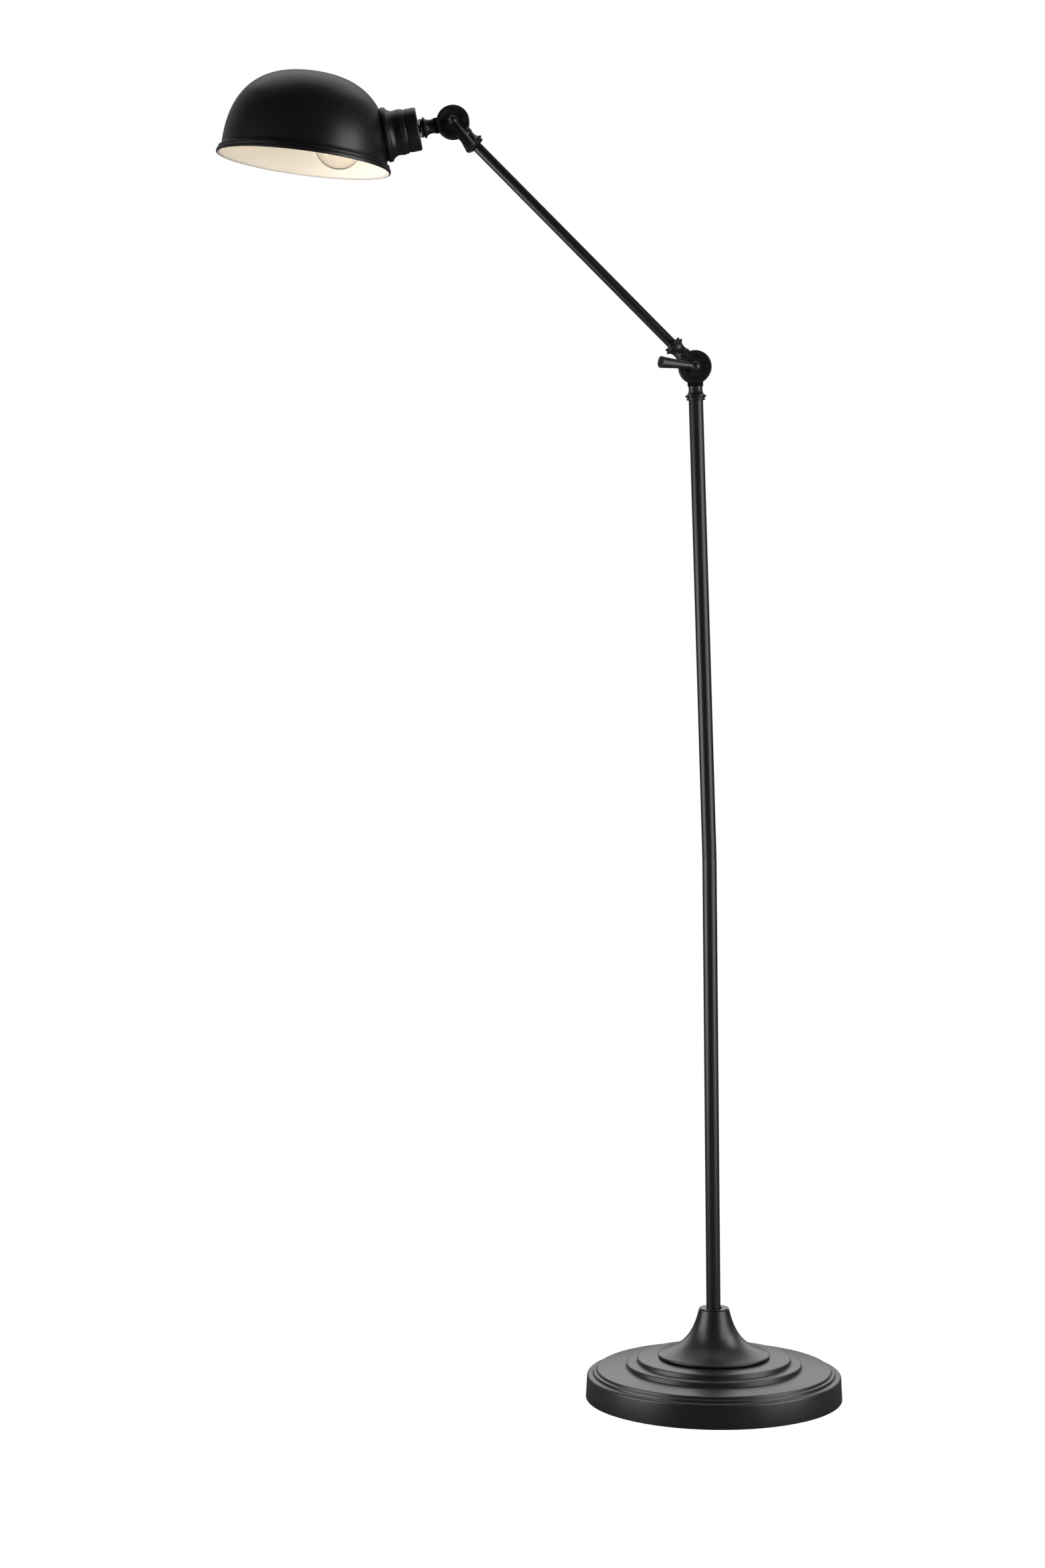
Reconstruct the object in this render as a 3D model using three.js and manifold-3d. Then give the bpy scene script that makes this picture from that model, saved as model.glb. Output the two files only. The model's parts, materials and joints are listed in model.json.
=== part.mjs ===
// An adjustable arm floor lamp: a stepped round base with a trumpet bell, a slim two-piece pole, a clamped
// elbow, a straight arm, a second clamped knuckle and a deep spun shade on a cupped neck.
// Millimetres and degrees, +Z up. The origin is the centre of the base on the floor, the arm and the shade
// reach towards -X, both hinges turn about Y and the clamping levers stand on the -Y side.
import * as THREE from "three";
import { mergeVertices } from "three/addons/utils/BufferGeometryUtils.js";
import Module from "manifold-3d";

const wasm = await Module();
wasm.setup();

// ---- Driving sizes --------------------------------------------------------------------------

const TOUCH = 0.3; // gap kept where two pieces meet
const RUNNING = 0.3; // radial clearance of a shaft or thread in its hole
const FINE = 32; // facets round the base and the shade
const COARSE = 16; // facets round tubes, collars and fasteners
const MIDDLE = 24; // facets round the half discs and the cup

// Base
const BASE_RADIUS = 147.5; // skirt at the floor
const BASE_SHEET = 1.6;
const SKIRT_LIFT = 0.8; // bottom edge above the floor
const SKIRT_HEIGHT = 28.5;
const SKIRT_DRAFT = 1.5;
const SKIRT_CORNER = 3.2;
const RIM_WIDTH = 13; // from the skirt to the shelf's edge
const RIM_RISE = 5.8;
const BEAD_RISE = 3.2;
const SHELF_RISE = 2.5;
const STEP_RISE = 5;
const TREAD_RISE = 0.7;
const STEP_ROUNDING = 1.6;
const STEP_WIDTH = 12.5; // tread between the two steps
const BELL_TREAD = 23.6; // tread between the inner step and the bell
const PAD_THICKNESS = 2.5;
const PAD_MARGIN = 0.6;
const WEIGHT_MARGIN = 8; // from the skirt to the iron disc
const WEIGHT_THICKNESS = 12;
const WEIGHT_BOSS_RADIUS = 30;
const NUT_RECESS_RADIUS = 13;
const NUT_RECESS_DEPTH = 10;

// Bell
const BELL_FOOT_RADIUS = 64.4;
const BELL_TOP_RADIUS = 17.6;
const BELL_TOP = 103.5; // height above the floor
const BELL_LIP = 3.4; // thickness of the rounded foot
const BELL_CORE = 1.9; // radius that the flare tends to
const BELL_SHEET = 1.5;
const BELL_MOUTH = 11; // radius of the hole in the flat top
const BELL_WASHER_THICKNESS = 1.2;

// Mains inlet at the back of the skirt
const GROMMET_HEIGHT = 13;
const GROMMET_NECK_RADIUS = 4.6;
const GROMMET_BORE_RADIUS = 3.6;
const GROMMET_FLANGE = 1.7;

// Pole
const POLE_RADIUS = 8.2;
const POLE_WALL = 1.2;
const POLE_LEAN = 0.68; // the lower pole stands slightly off plumb
const SEAM_KINK = 1.18; // and the upper pole leans further at the screwed seam
const LOWER_POLE_RUN = 574.5; // from the cover to the seam
const UPPER_POLE_RUN = 558.7; // from the seam to the elbow's axis
const COUPLER_HALF = 18;
const COUPLER_SLACK = 0.7;
const COUPLER_WALL = 1.7;
const PLUG_LENGTH = 16;

// Arm
const ARM_RADIUS = 5.8;
const ARM_WALL = 1;
const ARM_ANGLE = 44.9; // from vertical, towards -X
const ARM_LENGTH = 388.3; // between the two hinge axes

// Threaded hollow rods
const ROD_RADIUS = 4.5;
const ROD_BORE = 3.1;
const ROD_NUT_FLATS = 14;
const ROD_NUT_THICKNESS = 5;
const ROD_BELOW_WEIGHT = 8.6; // foot rod's end under the iron disc's recess roof
const LEAD_RADIUS = 2.2;

// Knuckles: four alike, each a half disc with a turned collar
const DISC_RADIUS = 18.7;
const DISC_OUT = 8.3; // outer face of a half disc from the middle plane
const DISC_IN = 0.8; // its inner face
const DISC_ROUNDING = 0.8;
const DISH_EDGE_RADIUS = 14.8;
const DISH_FLOOR_RADIUS = 9.5;
const DISH_DEPTH = 3;
const SWEEP_CLEARANCE = 3.9; // a collar is cut back by this round the mating half disc
const COLLAR_START = 15.4;
const COLLAR_BAND_WALL = 0.8; // the collars' radii stand this far from the pole's
const COLLAR_WAIST_WALL = -0.4;
const COLLAR_LIP_WALL = 3.8;
const COLLAR_SMALL_LIP_WALL = 2.3;
const COLLAR_WAIST = 26.5;
const COLLAR_LIP = 33;
const COLLAR_END = 37.3;
const SOCKET_DEPTH = 6; // how far a tube enters its collar
const ROD_SOCKET_START = 22.6;
const FRICTION_RADIUS = 16;

// Clamping screws, nuts and levers
const SCREW_RADIUS = 3;
const WASHER_RADIUS = 7.5;
const WASHER_THICKNESS = 1;
const SPRING_WASHER_RADIUS = 5.2;
const NUT_FLATS = 10;
const NUT_THICKNESS = 4.5;
const SCREW_PROUD = 1;
const HUB_RADIUS = 6.1;
const HUB_OUT = 13; // hub centre from the middle plane
const HUB_BOSS_RADIUS = 4.6;
const HUB_BORE_PAST_CENTRE = 1.8;
const LEVER_TILT = 26.4; // handle's lean away from the disc
const LEVER_LENGTH = 45.6;
const LEVER_ROOT_RADIUS = 3.45;
const LEVER_END_RADIUS = 6.7;
const LEVER_DISH = 0.6;
const ELBOW_LEVER_ANGLE = 85.8; // from vertical, towards -X
const HEAD_LEVER_ANGLE = -148.2;

// Neck cup
const HEAD_ANGLE = 100.5; // neck axis from vertical, towards -X
const NECK_RING_RADIUS = 10.5;
const NECK_RING_THICKNESS = 1.3;
const CUP_SPACE = 3.3; // between the lampholder and the cup's sheet
const CUP_CORNER = 2;
const CUP_BAND = 13.1; // length of the plain band
const CUP_BULGE_SWELL = 1.3; // radii beyond the plain band's
const CUP_BULGE = 20.8; // along the neck from the cup's end
const CUP_WAIST_SWELL = 0.6;
const CUP_WAIST = 28;
const CUP_FLANGE_SWELL = 6.7;
const CUP_FLANGE = 36.6;
const CUP_SHEET = 1.5;

// Shade: a superellipse dome on its own leaning axis, with a rolled rim
const SHADE_ANGLE = -6.75; // dome axis from vertical
const SHADE_FACE = 75.9; // where the dome meets the neck's axis, from the head hinge
const SHADE_DROP = 14.3; // opening's centre below the neck's axis
const SHADE_RADIUS = 94.3;
const SHADE_HEIGHT = 101.9;
const SHADE_SQUARENESS = 2.55;
const SHADE_SHEET = 1.2;
const RIM_OVERHANG = 4.9;
const RIM_HEIGHT = 9.4;
const DOME_STEPS = 12;
const SHADE_HOLE_SLACK = 0.8;

// Lampholder and bulb, along the neck from the head hinge
const HOLDER_STANDOFF = 4; // above the neck's nut
const HOLDER_IN_SHADE = 14.7; // how far the holder reaches past the dome's face
const HOLDER_WALL = 3;
const HOLDER_SPACE = 2.3; // round the screw shell
const HOLDER_FLOOR = 6;
const INSERT_THICKNESS = 3.6;
const CONTACT_THICKNESS = 1.9;
const CONTACT_RADIUS = 5;
const SHELL_WALL = 0.7;
const SHADE_RING_IN_SHADE = 8.2;
const SHADE_RING_THICKNESS = 4;
const SHADE_RING_WIDTH = 6;
const BULB_CAP_RADIUS = 13.2;
const BULB_CAP_LENGTH = 25.5;
const BULB_CAP_WALL = 0.9;
const BULB_NECK_SLACK = 0.4; // inside the cap
const BULB_NECK_INSET = 7; // how far the glass enters the cap
const BULB_RADIUS = 28.8;
const BULB_LENGTH = 97;
const BULB_GLASS = 1;
const STEM_RADIUS = 3.4;
const FILAMENT_HALF_WIDTH = 9;
const FILAMENT_RADIUS = 0.6;

// ---- Sizes that follow from them ------------------------------------------------------------

const shelfRadius = BASE_RADIUS - RIM_WIDTH;
const innerStepRadius = BELL_FOOT_RADIUS + BELL_TREAD;
const outerStepRadius = innerStepRadius + STEP_WIDTH;
const shelfEdge = SKIRT_HEIGHT + RIM_RISE;
const shelfTop = shelfEdge + SHELF_RISE;
const outerStepTop = shelfTop + STEP_RISE;
const innerStepFoot = outerStepTop + TREAD_RISE;
const innerStepTop = innerStepFoot + STEP_RISE;
const coverTop = innerStepTop + 2 * TREAD_RISE;
const weightBottom = PAD_THICKNESS + TOUCH;
const rodHoleRadius = ROD_RADIUS + RUNNING + 0.9; // lets the leaning rod through upright holes
const poleBore = POLE_RADIUS - POLE_WALL;
const armBore = ARM_RADIUS - ARM_WALL;
const rodSocketRadius = ROD_RADIUS + RUNNING;
const screwHoleRadius = SCREW_RADIUS + RUNNING;
const dishFloor = DISC_OUT - DISH_DEPTH;
const tubeStart = COLLAR_END - SOCKET_DEPTH + TOUCH;
const hubFoot = dishFloor + TOUCH + WASHER_THICKNESS + 2 * TOUCH;
const sweepRadius = DISC_RADIUS + SWEEP_CLEARANCE;
const bandRadius = POLE_RADIUS + COLLAR_BAND_WALL;
const waistRadius = POLE_RADIUS + COLLAR_WAIST_WALL;
const lipRadius = POLE_RADIUS + COLLAR_LIP_WALL;
const smallLipRadius = POLE_RADIUS + COLLAR_SMALL_LIP_WALL;
const cupStart = COLLAR_END + TOUCH + NECK_RING_THICKNESS + TOUCH;
const neckNutStart = cupStart + CUP_SHEET + TOUCH;
const holderStart = neckNutStart + ROD_NUT_THICKNESS + HOLDER_STANDOFF;
const holderEnd = SHADE_FACE + HOLDER_IN_SHADE;
const shellBore = BULB_CAP_RADIUS + RUNNING;
const holderBore = shellBore + SHELL_WALL + HOLDER_SPACE;
const holderRadius = holderBore + HOLDER_WALL;
const cupRadius = holderRadius + CUP_SPACE + CUP_SHEET;
const flangeRadius = cupRadius + CUP_FLANGE_SWELL;
const bulbNeckRadius = BULB_CAP_RADIUS - BULB_CAP_WALL - BULB_NECK_SLACK;
const insertStart = holderStart + HOLDER_FLOOR + TOUCH;
const contactStart = insertStart + INSERT_THICKNESS + TOUCH;
const bulbStart = contactStart + CONTACT_THICKNESS + TOUCH;
const capEnd = bulbStart + BULB_CAP_LENGTH;
const globeCentre = bulbStart + BULB_LENGTH - BULB_RADIUS;

// ---- Solids ---------------------------------------------------------------------------------

// A closed three.js geometry as a manifold solid, turned right side out if it came inside out.
function solid(geometry) {
  const bare = geometry.index ? geometry.toNonIndexed() : geometry.clone();
  bare.deleteAttribute("normal");
  bare.deleteAttribute("uv");
  const merged = mergeVertices(bare, 1e-4);
  const index = merged.index.array;
  const corners = [];
  for (let i = 0; i < index.length; i += 3) {
    const [a, b, c] = [index[i], index[i + 1], index[i + 2]];
    if (a !== b && b !== c && c !== a) corners.push(a, b, c);
  }
  const vertProperties = new Float32Array(merged.attributes.position.array);
  const build = (triVerts) => new wasm.Manifold(new wasm.Mesh({ numProp: 3, vertProperties, triVerts }));
  const outward = build(new Uint32Array(corners));
  return outward.volume() > 0 ? outward : build(new Uint32Array(corners.reverse()));
}

function geometryOf(body) {
  const mesh = body.getMesh();
  const geometry = new THREE.BufferGeometry();
  geometry.setAttribute("position", new THREE.BufferAttribute(mesh.vertProperties, 3));
  geometry.setIndex(new THREE.BufferAttribute(mesh.triVerts, 1));
  geometry.computeVertexNormals();
  return geometry;
}

// A profile of [radius, height] points turned about Z. It starts and ends on the axis or is closed here.
function turned(profile, facets = COARSE) {
  const open = profile[0][0] > 0 || profile[profile.length - 1][0] > 0;
  const points = (open ? [...profile, profile[0]] : profile).map(([r, z]) => new THREE.Vector2(r, z));
  return solid(new THREE.LatheGeometry(points, facets).rotateX(Math.PI / 2));
}

const rod = (radius, from, to, facets = COARSE) =>
  turned([[0, from], [radius, from], [radius, to], [0, to]], facets);

const tube = (inner, outer, from, to, facets = COARSE) =>
  turned([[inner, from], [outer, from], [outer, to], [inner, to]], facets);

// Turns a solid made along +Z to face -Y, the side of the levers, or +Y, the side of the nuts.
const faceFront = (body) => body.rotate([90, 0, 0]);
const faceRear = (body) => body.rotate([-90, 0, 0]);

// The outline moved to its left by the sheet's thickness, for the inside of a spun wall.
function inset(outline, thickness) {
  return outline.map((point, i) => {
    const before = outline[Math.max(i - 1, 0)];
    const after = outline[Math.min(i + 1, outline.length - 1)];
    const normals = [[before, point], [point, after]]
      .map(([p, q]) => new THREE.Vector2(p[1] - q[1], q[0] - p[0]))
      .filter((normal) => normal.length() > 0)
      .map((normal) => normal.normalize());
    const mitre = normals[0].clone().add(normals[normals.length - 1]).normalize();
    const reach = thickness / mitre.dot(normals[0]);
    return [point[0] + mitre.x * reach, point[1] + mitre.y * reach];
  });
}

const spunSheet = (outer, inner, facets) => turned([...outer, ...inner.reverse()], facets);

// Points of an arc about [r, z], angles in degrees from the outward radial direction.
function arc([r, z], radius, from, to, steps) {
  return Array.from({ length: steps + 1 }, (_, i) => {
    const angle = THREE.MathUtils.degToRad(from + ((to - from) * i) / steps);
    return [r + radius * Math.cos(angle), z + radius * Math.sin(angle)];
  });
}

function hexagon(flats, thickness) {
  const corner = flats / Math.sqrt(3);
  const points = Array.from({ length: 6 }, (_, i) =>
    new THREE.Vector2(corner * Math.cos((i * Math.PI) / 3), corner * Math.sin((i * Math.PI) / 3)));
  const outline = new THREE.Shape(points);
  return solid(new THREE.ExtrudeGeometry(outline, { depth: thickness, bevelEnabled: false }));
}

// A hexagon nut from a height up, with its bore.
const nut = (flats, bore, from, thickness) =>
  hexagon(flats, thickness).translate([0, 0, from]).subtract(rod(bore, from - 1, from + thickness + 1));

// ---- Materials ------------------------------------------------------------------------------

const finish = (color, roughness, metalness) =>
  new THREE.MeshStandardMaterial({ color, roughness, metalness });
const blackPaint = finish(0x121212, 0.42, 0.1);
const creamEnamel = finish(0xfdebd2, 0.5, 0);
const castIron = finish(0x3a3a3c, 0.75, 0.6);
const zincSteel = finish(0xa9abae, 0.35, 1);
const brass = finish(0xc9a24f, 0.3, 1);
const felt = finish(0x1b1b1b, 1, 0);
const rubber = finish(0x161616, 0.85, 0);
const fibre = finish(0x6b2a20, 0.8, 0);
const ceramic = finish(0xeeeae0, 0.4, 0);
const nickel = finish(0xc4c2bc, 0.25, 1);
const clearGlass = finish(0xfff6ea, 0.05, 0);
const tungsten = finish(0x8a8580, 0.4, 1);
const cableSheath = finish(0x222222, 0.6, 0);

// ---- Frames ---------------------------------------------------------------------------------

const lamp = new THREE.Group();

// A group whose +Z leans from vertical by an angle towards -X.
function frameAt(point, angle) {
  const group = new THREE.Group();
  group.position.copy(point);
  group.rotation.y = -THREE.MathUtils.degToRad(angle);
  group.updateMatrix();
  lamp.add(group);
  return group;
}

const placeIn = (group, x, z) => new THREE.Vector3(x, 0, z).applyMatrix4(group.matrix);

// A solid of one frame as another frame sees it.
const seenFrom = (to, from, body) =>
  body.transform(to.matrix.clone().invert().multiply(from.matrix).elements);

const lowerMast = frameAt(new THREE.Vector3(0, 0, coverTop), POLE_LEAN);
const upperMast = frameAt(placeIn(lowerMast, 0, LOWER_POLE_RUN), POLE_LEAN + SEAM_KINK);
const elbow = placeIn(upperMast, 0, UPPER_POLE_RUN);
const elbowFrame = frameAt(elbow, POLE_LEAN + SEAM_KINK);
const armFrame = frameAt(elbow, ARM_ANGLE);
const headHinge = placeIn(armFrame, 0, ARM_LENGTH);
const armEndFrame = frameAt(headHinge, ARM_ANGLE);
const headFrame = frameAt(headHinge, HEAD_ANGLE);

// How far the opening's centre lies beyond the dome's face, along the neck's axis.
function domeReach() {
  const turn = THREE.MathUtils.degToRad(HEAD_ANGLE - SHADE_ANGLE);
  const [cos, sin] = [Math.cos(turn), Math.sin(turn)];
  let [near, far] = [0, 2 * SHADE_RADIUS];
  for (let i = 0; i < 50; i += 1) {
    const reach = (near + far) / 2;
    const height = (SHADE_DROP * sin - reach * cos) / SHADE_HEIGHT;
    const radius = Math.abs(SHADE_DROP * cos + reach * sin) / SHADE_RADIUS;
    const inside = radius ** SHADE_SQUARENESS + height ** SHADE_SQUARENESS < 1;
    [near, far] = inside ? [reach, far] : [near, reach];
  }
  return near;
}

const shadeFrame = frameAt(placeIn(headFrame, -SHADE_DROP, SHADE_FACE + domeReach()), SHADE_ANGLE);

function add(name, body, material, group = lamp) {
  const mesh = new THREE.Mesh(geometryOf(body), material);
  mesh.name = name;
  group.add(mesh);
}

// ---- Base -----------------------------------------------------------------------------------

function baseCover() {
  const skirt = BASE_RADIUS - SKIRT_DRAFT;
  const corner = arc([skirt - SKIRT_CORNER, SKIRT_HEIGHT - SKIRT_CORNER], SKIRT_CORNER, 0, 90, 2);
  const bead = [
    [shelfRadius + 5.4, SKIRT_HEIGHT + 0.2],
    [shelfRadius + 4.2, SKIRT_HEIGHT + 0.9],
    [shelfRadius + 3.4, SKIRT_HEIGHT + BEAD_RISE],
    [shelfRadius + 0.9, SKIRT_HEIGHT + BEAD_RISE + 0.4],
    [shelfRadius, shelfEdge - STEP_ROUNDING],
  ];
  const shelf = [[shelfRadius - STEP_ROUNDING, shelfEdge], [outerStepRadius + 1.2, shelfTop - 0.2]];
  const step = (radius, foot, top) => [
    [radius, foot + 0.8],
    [radius - 0.7, top - STEP_ROUNDING],
    [radius - 0.7 - STEP_ROUNDING, top],
  ];
  const outerStep = step(outerStepRadius, shelfTop, outerStepTop);
  const innerStep = step(innerStepRadius, innerStepFoot, innerStepTop);
  const tread = [[innerStepRadius + 1.2, innerStepFoot]];
  const plate = [[BELL_FOOT_RADIUS, coverTop], [rodHoleRadius, coverTop]];
  const foot = [[BASE_RADIUS, SKIRT_LIFT]];
  const outer = [...foot, ...corner, ...bead, ...shelf, ...outerStep, ...tread, ...innerStep, ...plate];
  const plain = [
    ...foot,
    corner[0],
    corner[2],
    [shelfRadius + 0.9, SKIRT_HEIGHT + 0.2],
    ...shelf,
    outerStep[2],
    ...tread,
    innerStep[2],
    ...plate,
  ];
  const inletHole = faceRear(rod(GROMMET_NECK_RADIUS + RUNNING, BASE_RADIUS - 12, BASE_RADIUS + 5))
    .translate([0, 0, GROMMET_HEIGHT]);
  return spunSheet(outer, inset(plain, BASE_SHEET), FINE).subtract(inletHole);
}

const padRadius = BASE_RADIUS - BASE_SHEET - SKIRT_DRAFT * (PAD_THICKNESS / SKIRT_HEIGHT) - PAD_MARGIN;
const weightRadius = BASE_RADIUS - BASE_SHEET - WEIGHT_MARGIN;
const recessRoof = weightBottom + NUT_RECESS_DEPTH;
const bossTop = coverTop - BASE_SHEET - TOUCH;

const basePad = () => rod(padRadius, 0, PAD_THICKNESS, FINE);

const baseWeight = () => turned([
  [NUT_RECESS_RADIUS, weightBottom],
  [weightRadius - 2, weightBottom],
  [weightRadius, weightBottom + 2],
  [weightRadius, weightBottom + WEIGHT_THICKNESS - 2],
  [weightRadius - 2, weightBottom + WEIGHT_THICKNESS],
  [WEIGHT_BOSS_RADIUS + 6, weightBottom + WEIGHT_THICKNESS],
  [WEIGHT_BOSS_RADIUS, weightBottom + WEIGHT_THICKNESS + 6],
  [WEIGHT_BOSS_RADIUS, bossTop],
  [rodHoleRadius, bossTop],
  [rodHoleRadius, recessRoof],
  [NUT_RECESS_RADIUS, recessRoof],
], FINE);

// The flare is a hyperbola through the foot and the top.
function bellOutline(steps) {
  const foot = [BELL_FOOT_RADIUS - 1.6, coverTop + TOUCH + BELL_LIP];
  const [rf, rt] = [foot[0] - BELL_CORE, BELL_TOP_RADIUS - BELL_CORE];
  const line = (rf * foot[1] - rt * BELL_TOP) / (rf - rt);
  const flare = rt * (BELL_TOP - line);
  return Array.from({ length: steps + 1 }, (_, i) => {
    const reach = rf * (rt / rf) ** (i / steps);
    return [BELL_CORE + reach, line + flare / reach];
  });
}

function baseBell() {
  const seat = coverTop + TOUCH;
  const flare = bellOutline(9);
  flare.pop();
  const lip = [
    [BELL_FOOT_RADIUS - 2, seat],
    [BELL_FOOT_RADIUS - 0.5, seat + 0.6],
    [BELL_FOOT_RADIUS, seat + BELL_LIP / 2],
    [BELL_FOOT_RADIUS - 0.4, seat + BELL_LIP - 0.7],
  ];
  const top = [
    [BELL_TOP_RADIUS + 0.2, BELL_TOP - 1],
    [BELL_TOP_RADIUS - 0.4, BELL_TOP],
    [BELL_MOUTH, BELL_TOP],
  ];
  const plain = [[BELL_FOOT_RADIUS - 2, seat], ...flare, [BELL_TOP_RADIUS, BELL_TOP], top[2]];
  return spunSheet([...lip, ...flare, ...top], inset(plain, BELL_SHEET), FINE);
}

const poleShift = (BELL_TOP - coverTop) * Math.tan(THREE.MathUtils.degToRad(POLE_LEAN));
const bellWasher = () => tube(
  POLE_RADIUS + poleShift + TOUCH,
  BELL_TOP_RADIUS - 0.8,
  BELL_TOP + TOUCH,
  BELL_TOP + TOUCH + BELL_WASHER_THICKNESS,
  FINE,
);

function cordGrommet() {
  const rimRadius = GROMMET_NECK_RADIUS + GROMMET_FLANGE;
  const wallAt = (z) => BASE_RADIUS - (SKIRT_DRAFT * z) / (SKIRT_HEIGHT - SKIRT_CORNER);
  const sag = rimRadius ** 2 / (2 * BASE_RADIUS) + BASE_RADIUS * (1 - Math.cos(Math.PI / FINE));
  const inside = wallAt(GROMMET_HEIGHT + rimRadius) - BASE_SHEET - sag - TOUCH;
  const outside = wallAt(GROMMET_HEIGHT - rimRadius) + TOUCH;
  const profile = [
    [GROMMET_BORE_RADIUS, inside - GROMMET_FLANGE],
    [rimRadius, inside - GROMMET_FLANGE],
    [rimRadius, inside],
    [GROMMET_NECK_RADIUS, inside],
    [GROMMET_NECK_RADIUS, outside],
    [rimRadius, outside],
    [rimRadius - 0.6, outside + GROMMET_FLANGE],
    [GROMMET_BORE_RADIUS, outside + GROMMET_FLANGE],
  ];
  return faceRear(turned(profile)).translate([0, 0, GROMMET_HEIGHT]);
}

add("base_pad", basePad(), felt);
add("base_weight", baseWeight(), castIron);
add("base_cover", baseCover(), blackPaint);
add("base_bell", baseBell(), blackPaint);
add("bell_washer", bellWasher(), blackPaint);
add("cord_grommet", cordGrommet(), rubber);

// ---- Pole -----------------------------------------------------------------------------------

const leanRise = POLE_RADIUS * Math.sin(THREE.MathUtils.degToRad(POLE_LEAN));
const poleFoot = TOUCH + leanRise;
const kinkGap = (TOUCH + POLE_RADIUS * Math.sin(THREE.MathUtils.degToRad(SEAM_KINK))) / 2;
const upperPoleEnd = UPPER_POLE_RUN - tubeStart;
const rodFoot = recessRoof - ROD_BELOW_WEIGHT - coverTop;
const plugRadius = poleBore - TOUCH;
const couplerRadius = poleBore - COUPLER_SLACK;
const rodTop = poleFoot + PLUG_LENGTH;
const rodNutTop = recessRoof - coverTop - TOUCH - WASHER_THICKNESS - 2 * TOUCH;

add("foot_rod", tube(ROD_BORE, ROD_RADIUS, rodFoot, rodTop), zincSteel, lowerMast);
add("foot_nut", nut(ROD_NUT_FLATS, rodSocketRadius, rodNutTop - ROD_NUT_THICKNESS, ROD_NUT_THICKNESS),
  zincSteel, lowerMast);
add("foot_washer", tube(rodSocketRadius, NUT_RECESS_RADIUS - 2.5, rodNutTop + TOUCH,
  rodNutTop + TOUCH + WASHER_THICKNESS), zincSteel, lowerMast);
add("pole_foot_plug", tube(rodSocketRadius, plugRadius, poleFoot, rodTop), zincSteel, lowerMast);
add("pole_lower", tube(poleBore, POLE_RADIUS, poleFoot, LOWER_POLE_RUN - kinkGap), blackPaint, lowerMast);
add("pole_coupler", tube(couplerRadius - COUPLER_WALL, couplerRadius, LOWER_POLE_RUN - COUPLER_HALF,
  LOWER_POLE_RUN + COUPLER_HALF), zincSteel, lowerMast);
add("pole_upper", tube(poleBore, POLE_RADIUS, kinkGap, upperPoleEnd), blackPaint, upperMast);

// The wire inside the pole follows its kink at the seam.
function poleLead() {
  const sides = 8;
  const circle = Array.from({ length: sides }, (_, i) => new THREE.Vector2(
    LEAD_RADIUS * Math.cos((2 * Math.PI * i) / sides),
    LEAD_RADIUS * Math.sin((2 * Math.PI * i) / sides),
  ));
  const last = UPPER_POLE_RUN - ROD_SOCKET_START - 1;
  const path = new THREE.CatmullRomCurve3([
    placeIn(lowerMast, 0, rodFoot + 1),
    placeIn(lowerMast, 0, LOWER_POLE_RUN / 2),
    placeIn(lowerMast, 0, LOWER_POLE_RUN - COUPLER_HALF),
    placeIn(upperMast, 0, COUPLER_HALF),
    placeIn(upperMast, 0, UPPER_POLE_RUN / 2),
    placeIn(upperMast, 0, last),
  ]);
  return solid(new THREE.ExtrudeGeometry(new THREE.Shape(circle), { steps: 24, extrudePath: path }));
}

add("pole_lead", poleLead(), cableSheath);

// ---- Knuckles -------------------------------------------------------------------------------

// One half of a clamped hinge, in the hinge's frame: the half disc lies on the -Y side of the middle plane
// and the collar points along +Z with a socket for its tube.
function knuckle(socketRadius) {
  const disc = faceFront(turned([
    [screwHoleRadius, DISC_IN],
    [DISC_RADIUS - DISC_ROUNDING, DISC_IN],
    [DISC_RADIUS, DISC_IN + DISC_ROUNDING],
    [DISC_RADIUS, DISC_OUT - DISC_ROUNDING],
    [DISC_RADIUS - DISC_ROUNDING, DISC_OUT],
    [DISH_EDGE_RADIUS, DISC_OUT],
    [DISH_EDGE_RADIUS - 1.2, DISC_OUT - 0.5],
    [DISH_FLOOR_RADIUS, dishFloor],
    [screwHoleRadius, dishFloor],
  ], MIDDLE));
  const collar = turned([
    [0, COLLAR_START],
    [bandRadius, COLLAR_START],
    [bandRadius, COLLAR_WAIST - 5.6],
    [waistRadius + 0.4, COLLAR_WAIST - 3.6],
    [waistRadius, COLLAR_WAIST],
    [waistRadius + 0.9, COLLAR_LIP - 3.6],
    [waistRadius + 2.6, COLLAR_LIP - 1.6],
    [lipRadius, COLLAR_LIP - 0.5],
    [lipRadius, COLLAR_LIP + 0.6],
    [smallLipRadius - 0.8, COLLAR_LIP + 1.6],
    [smallLipRadius, COLLAR_END - 1.7],
    [smallLipRadius - 0.4, COLLAR_END],
    [0, COLLAR_END],
  ]);
  const matingSweep = faceRear(rod(sweepRadius, -DISC_IN, 2 * lipRadius, MIDDLE));
  const socket = rod(socketRadius, COLLAR_END - SOCKET_DEPTH, COLLAR_END + 1);
  const rodSocket = rod(rodSocketRadius, ROD_SOCKET_START, COLLAR_END);
  return disc.add(collar.subtract(matingSweep)).subtract(socket).subtract(rodSocket);
}

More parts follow.
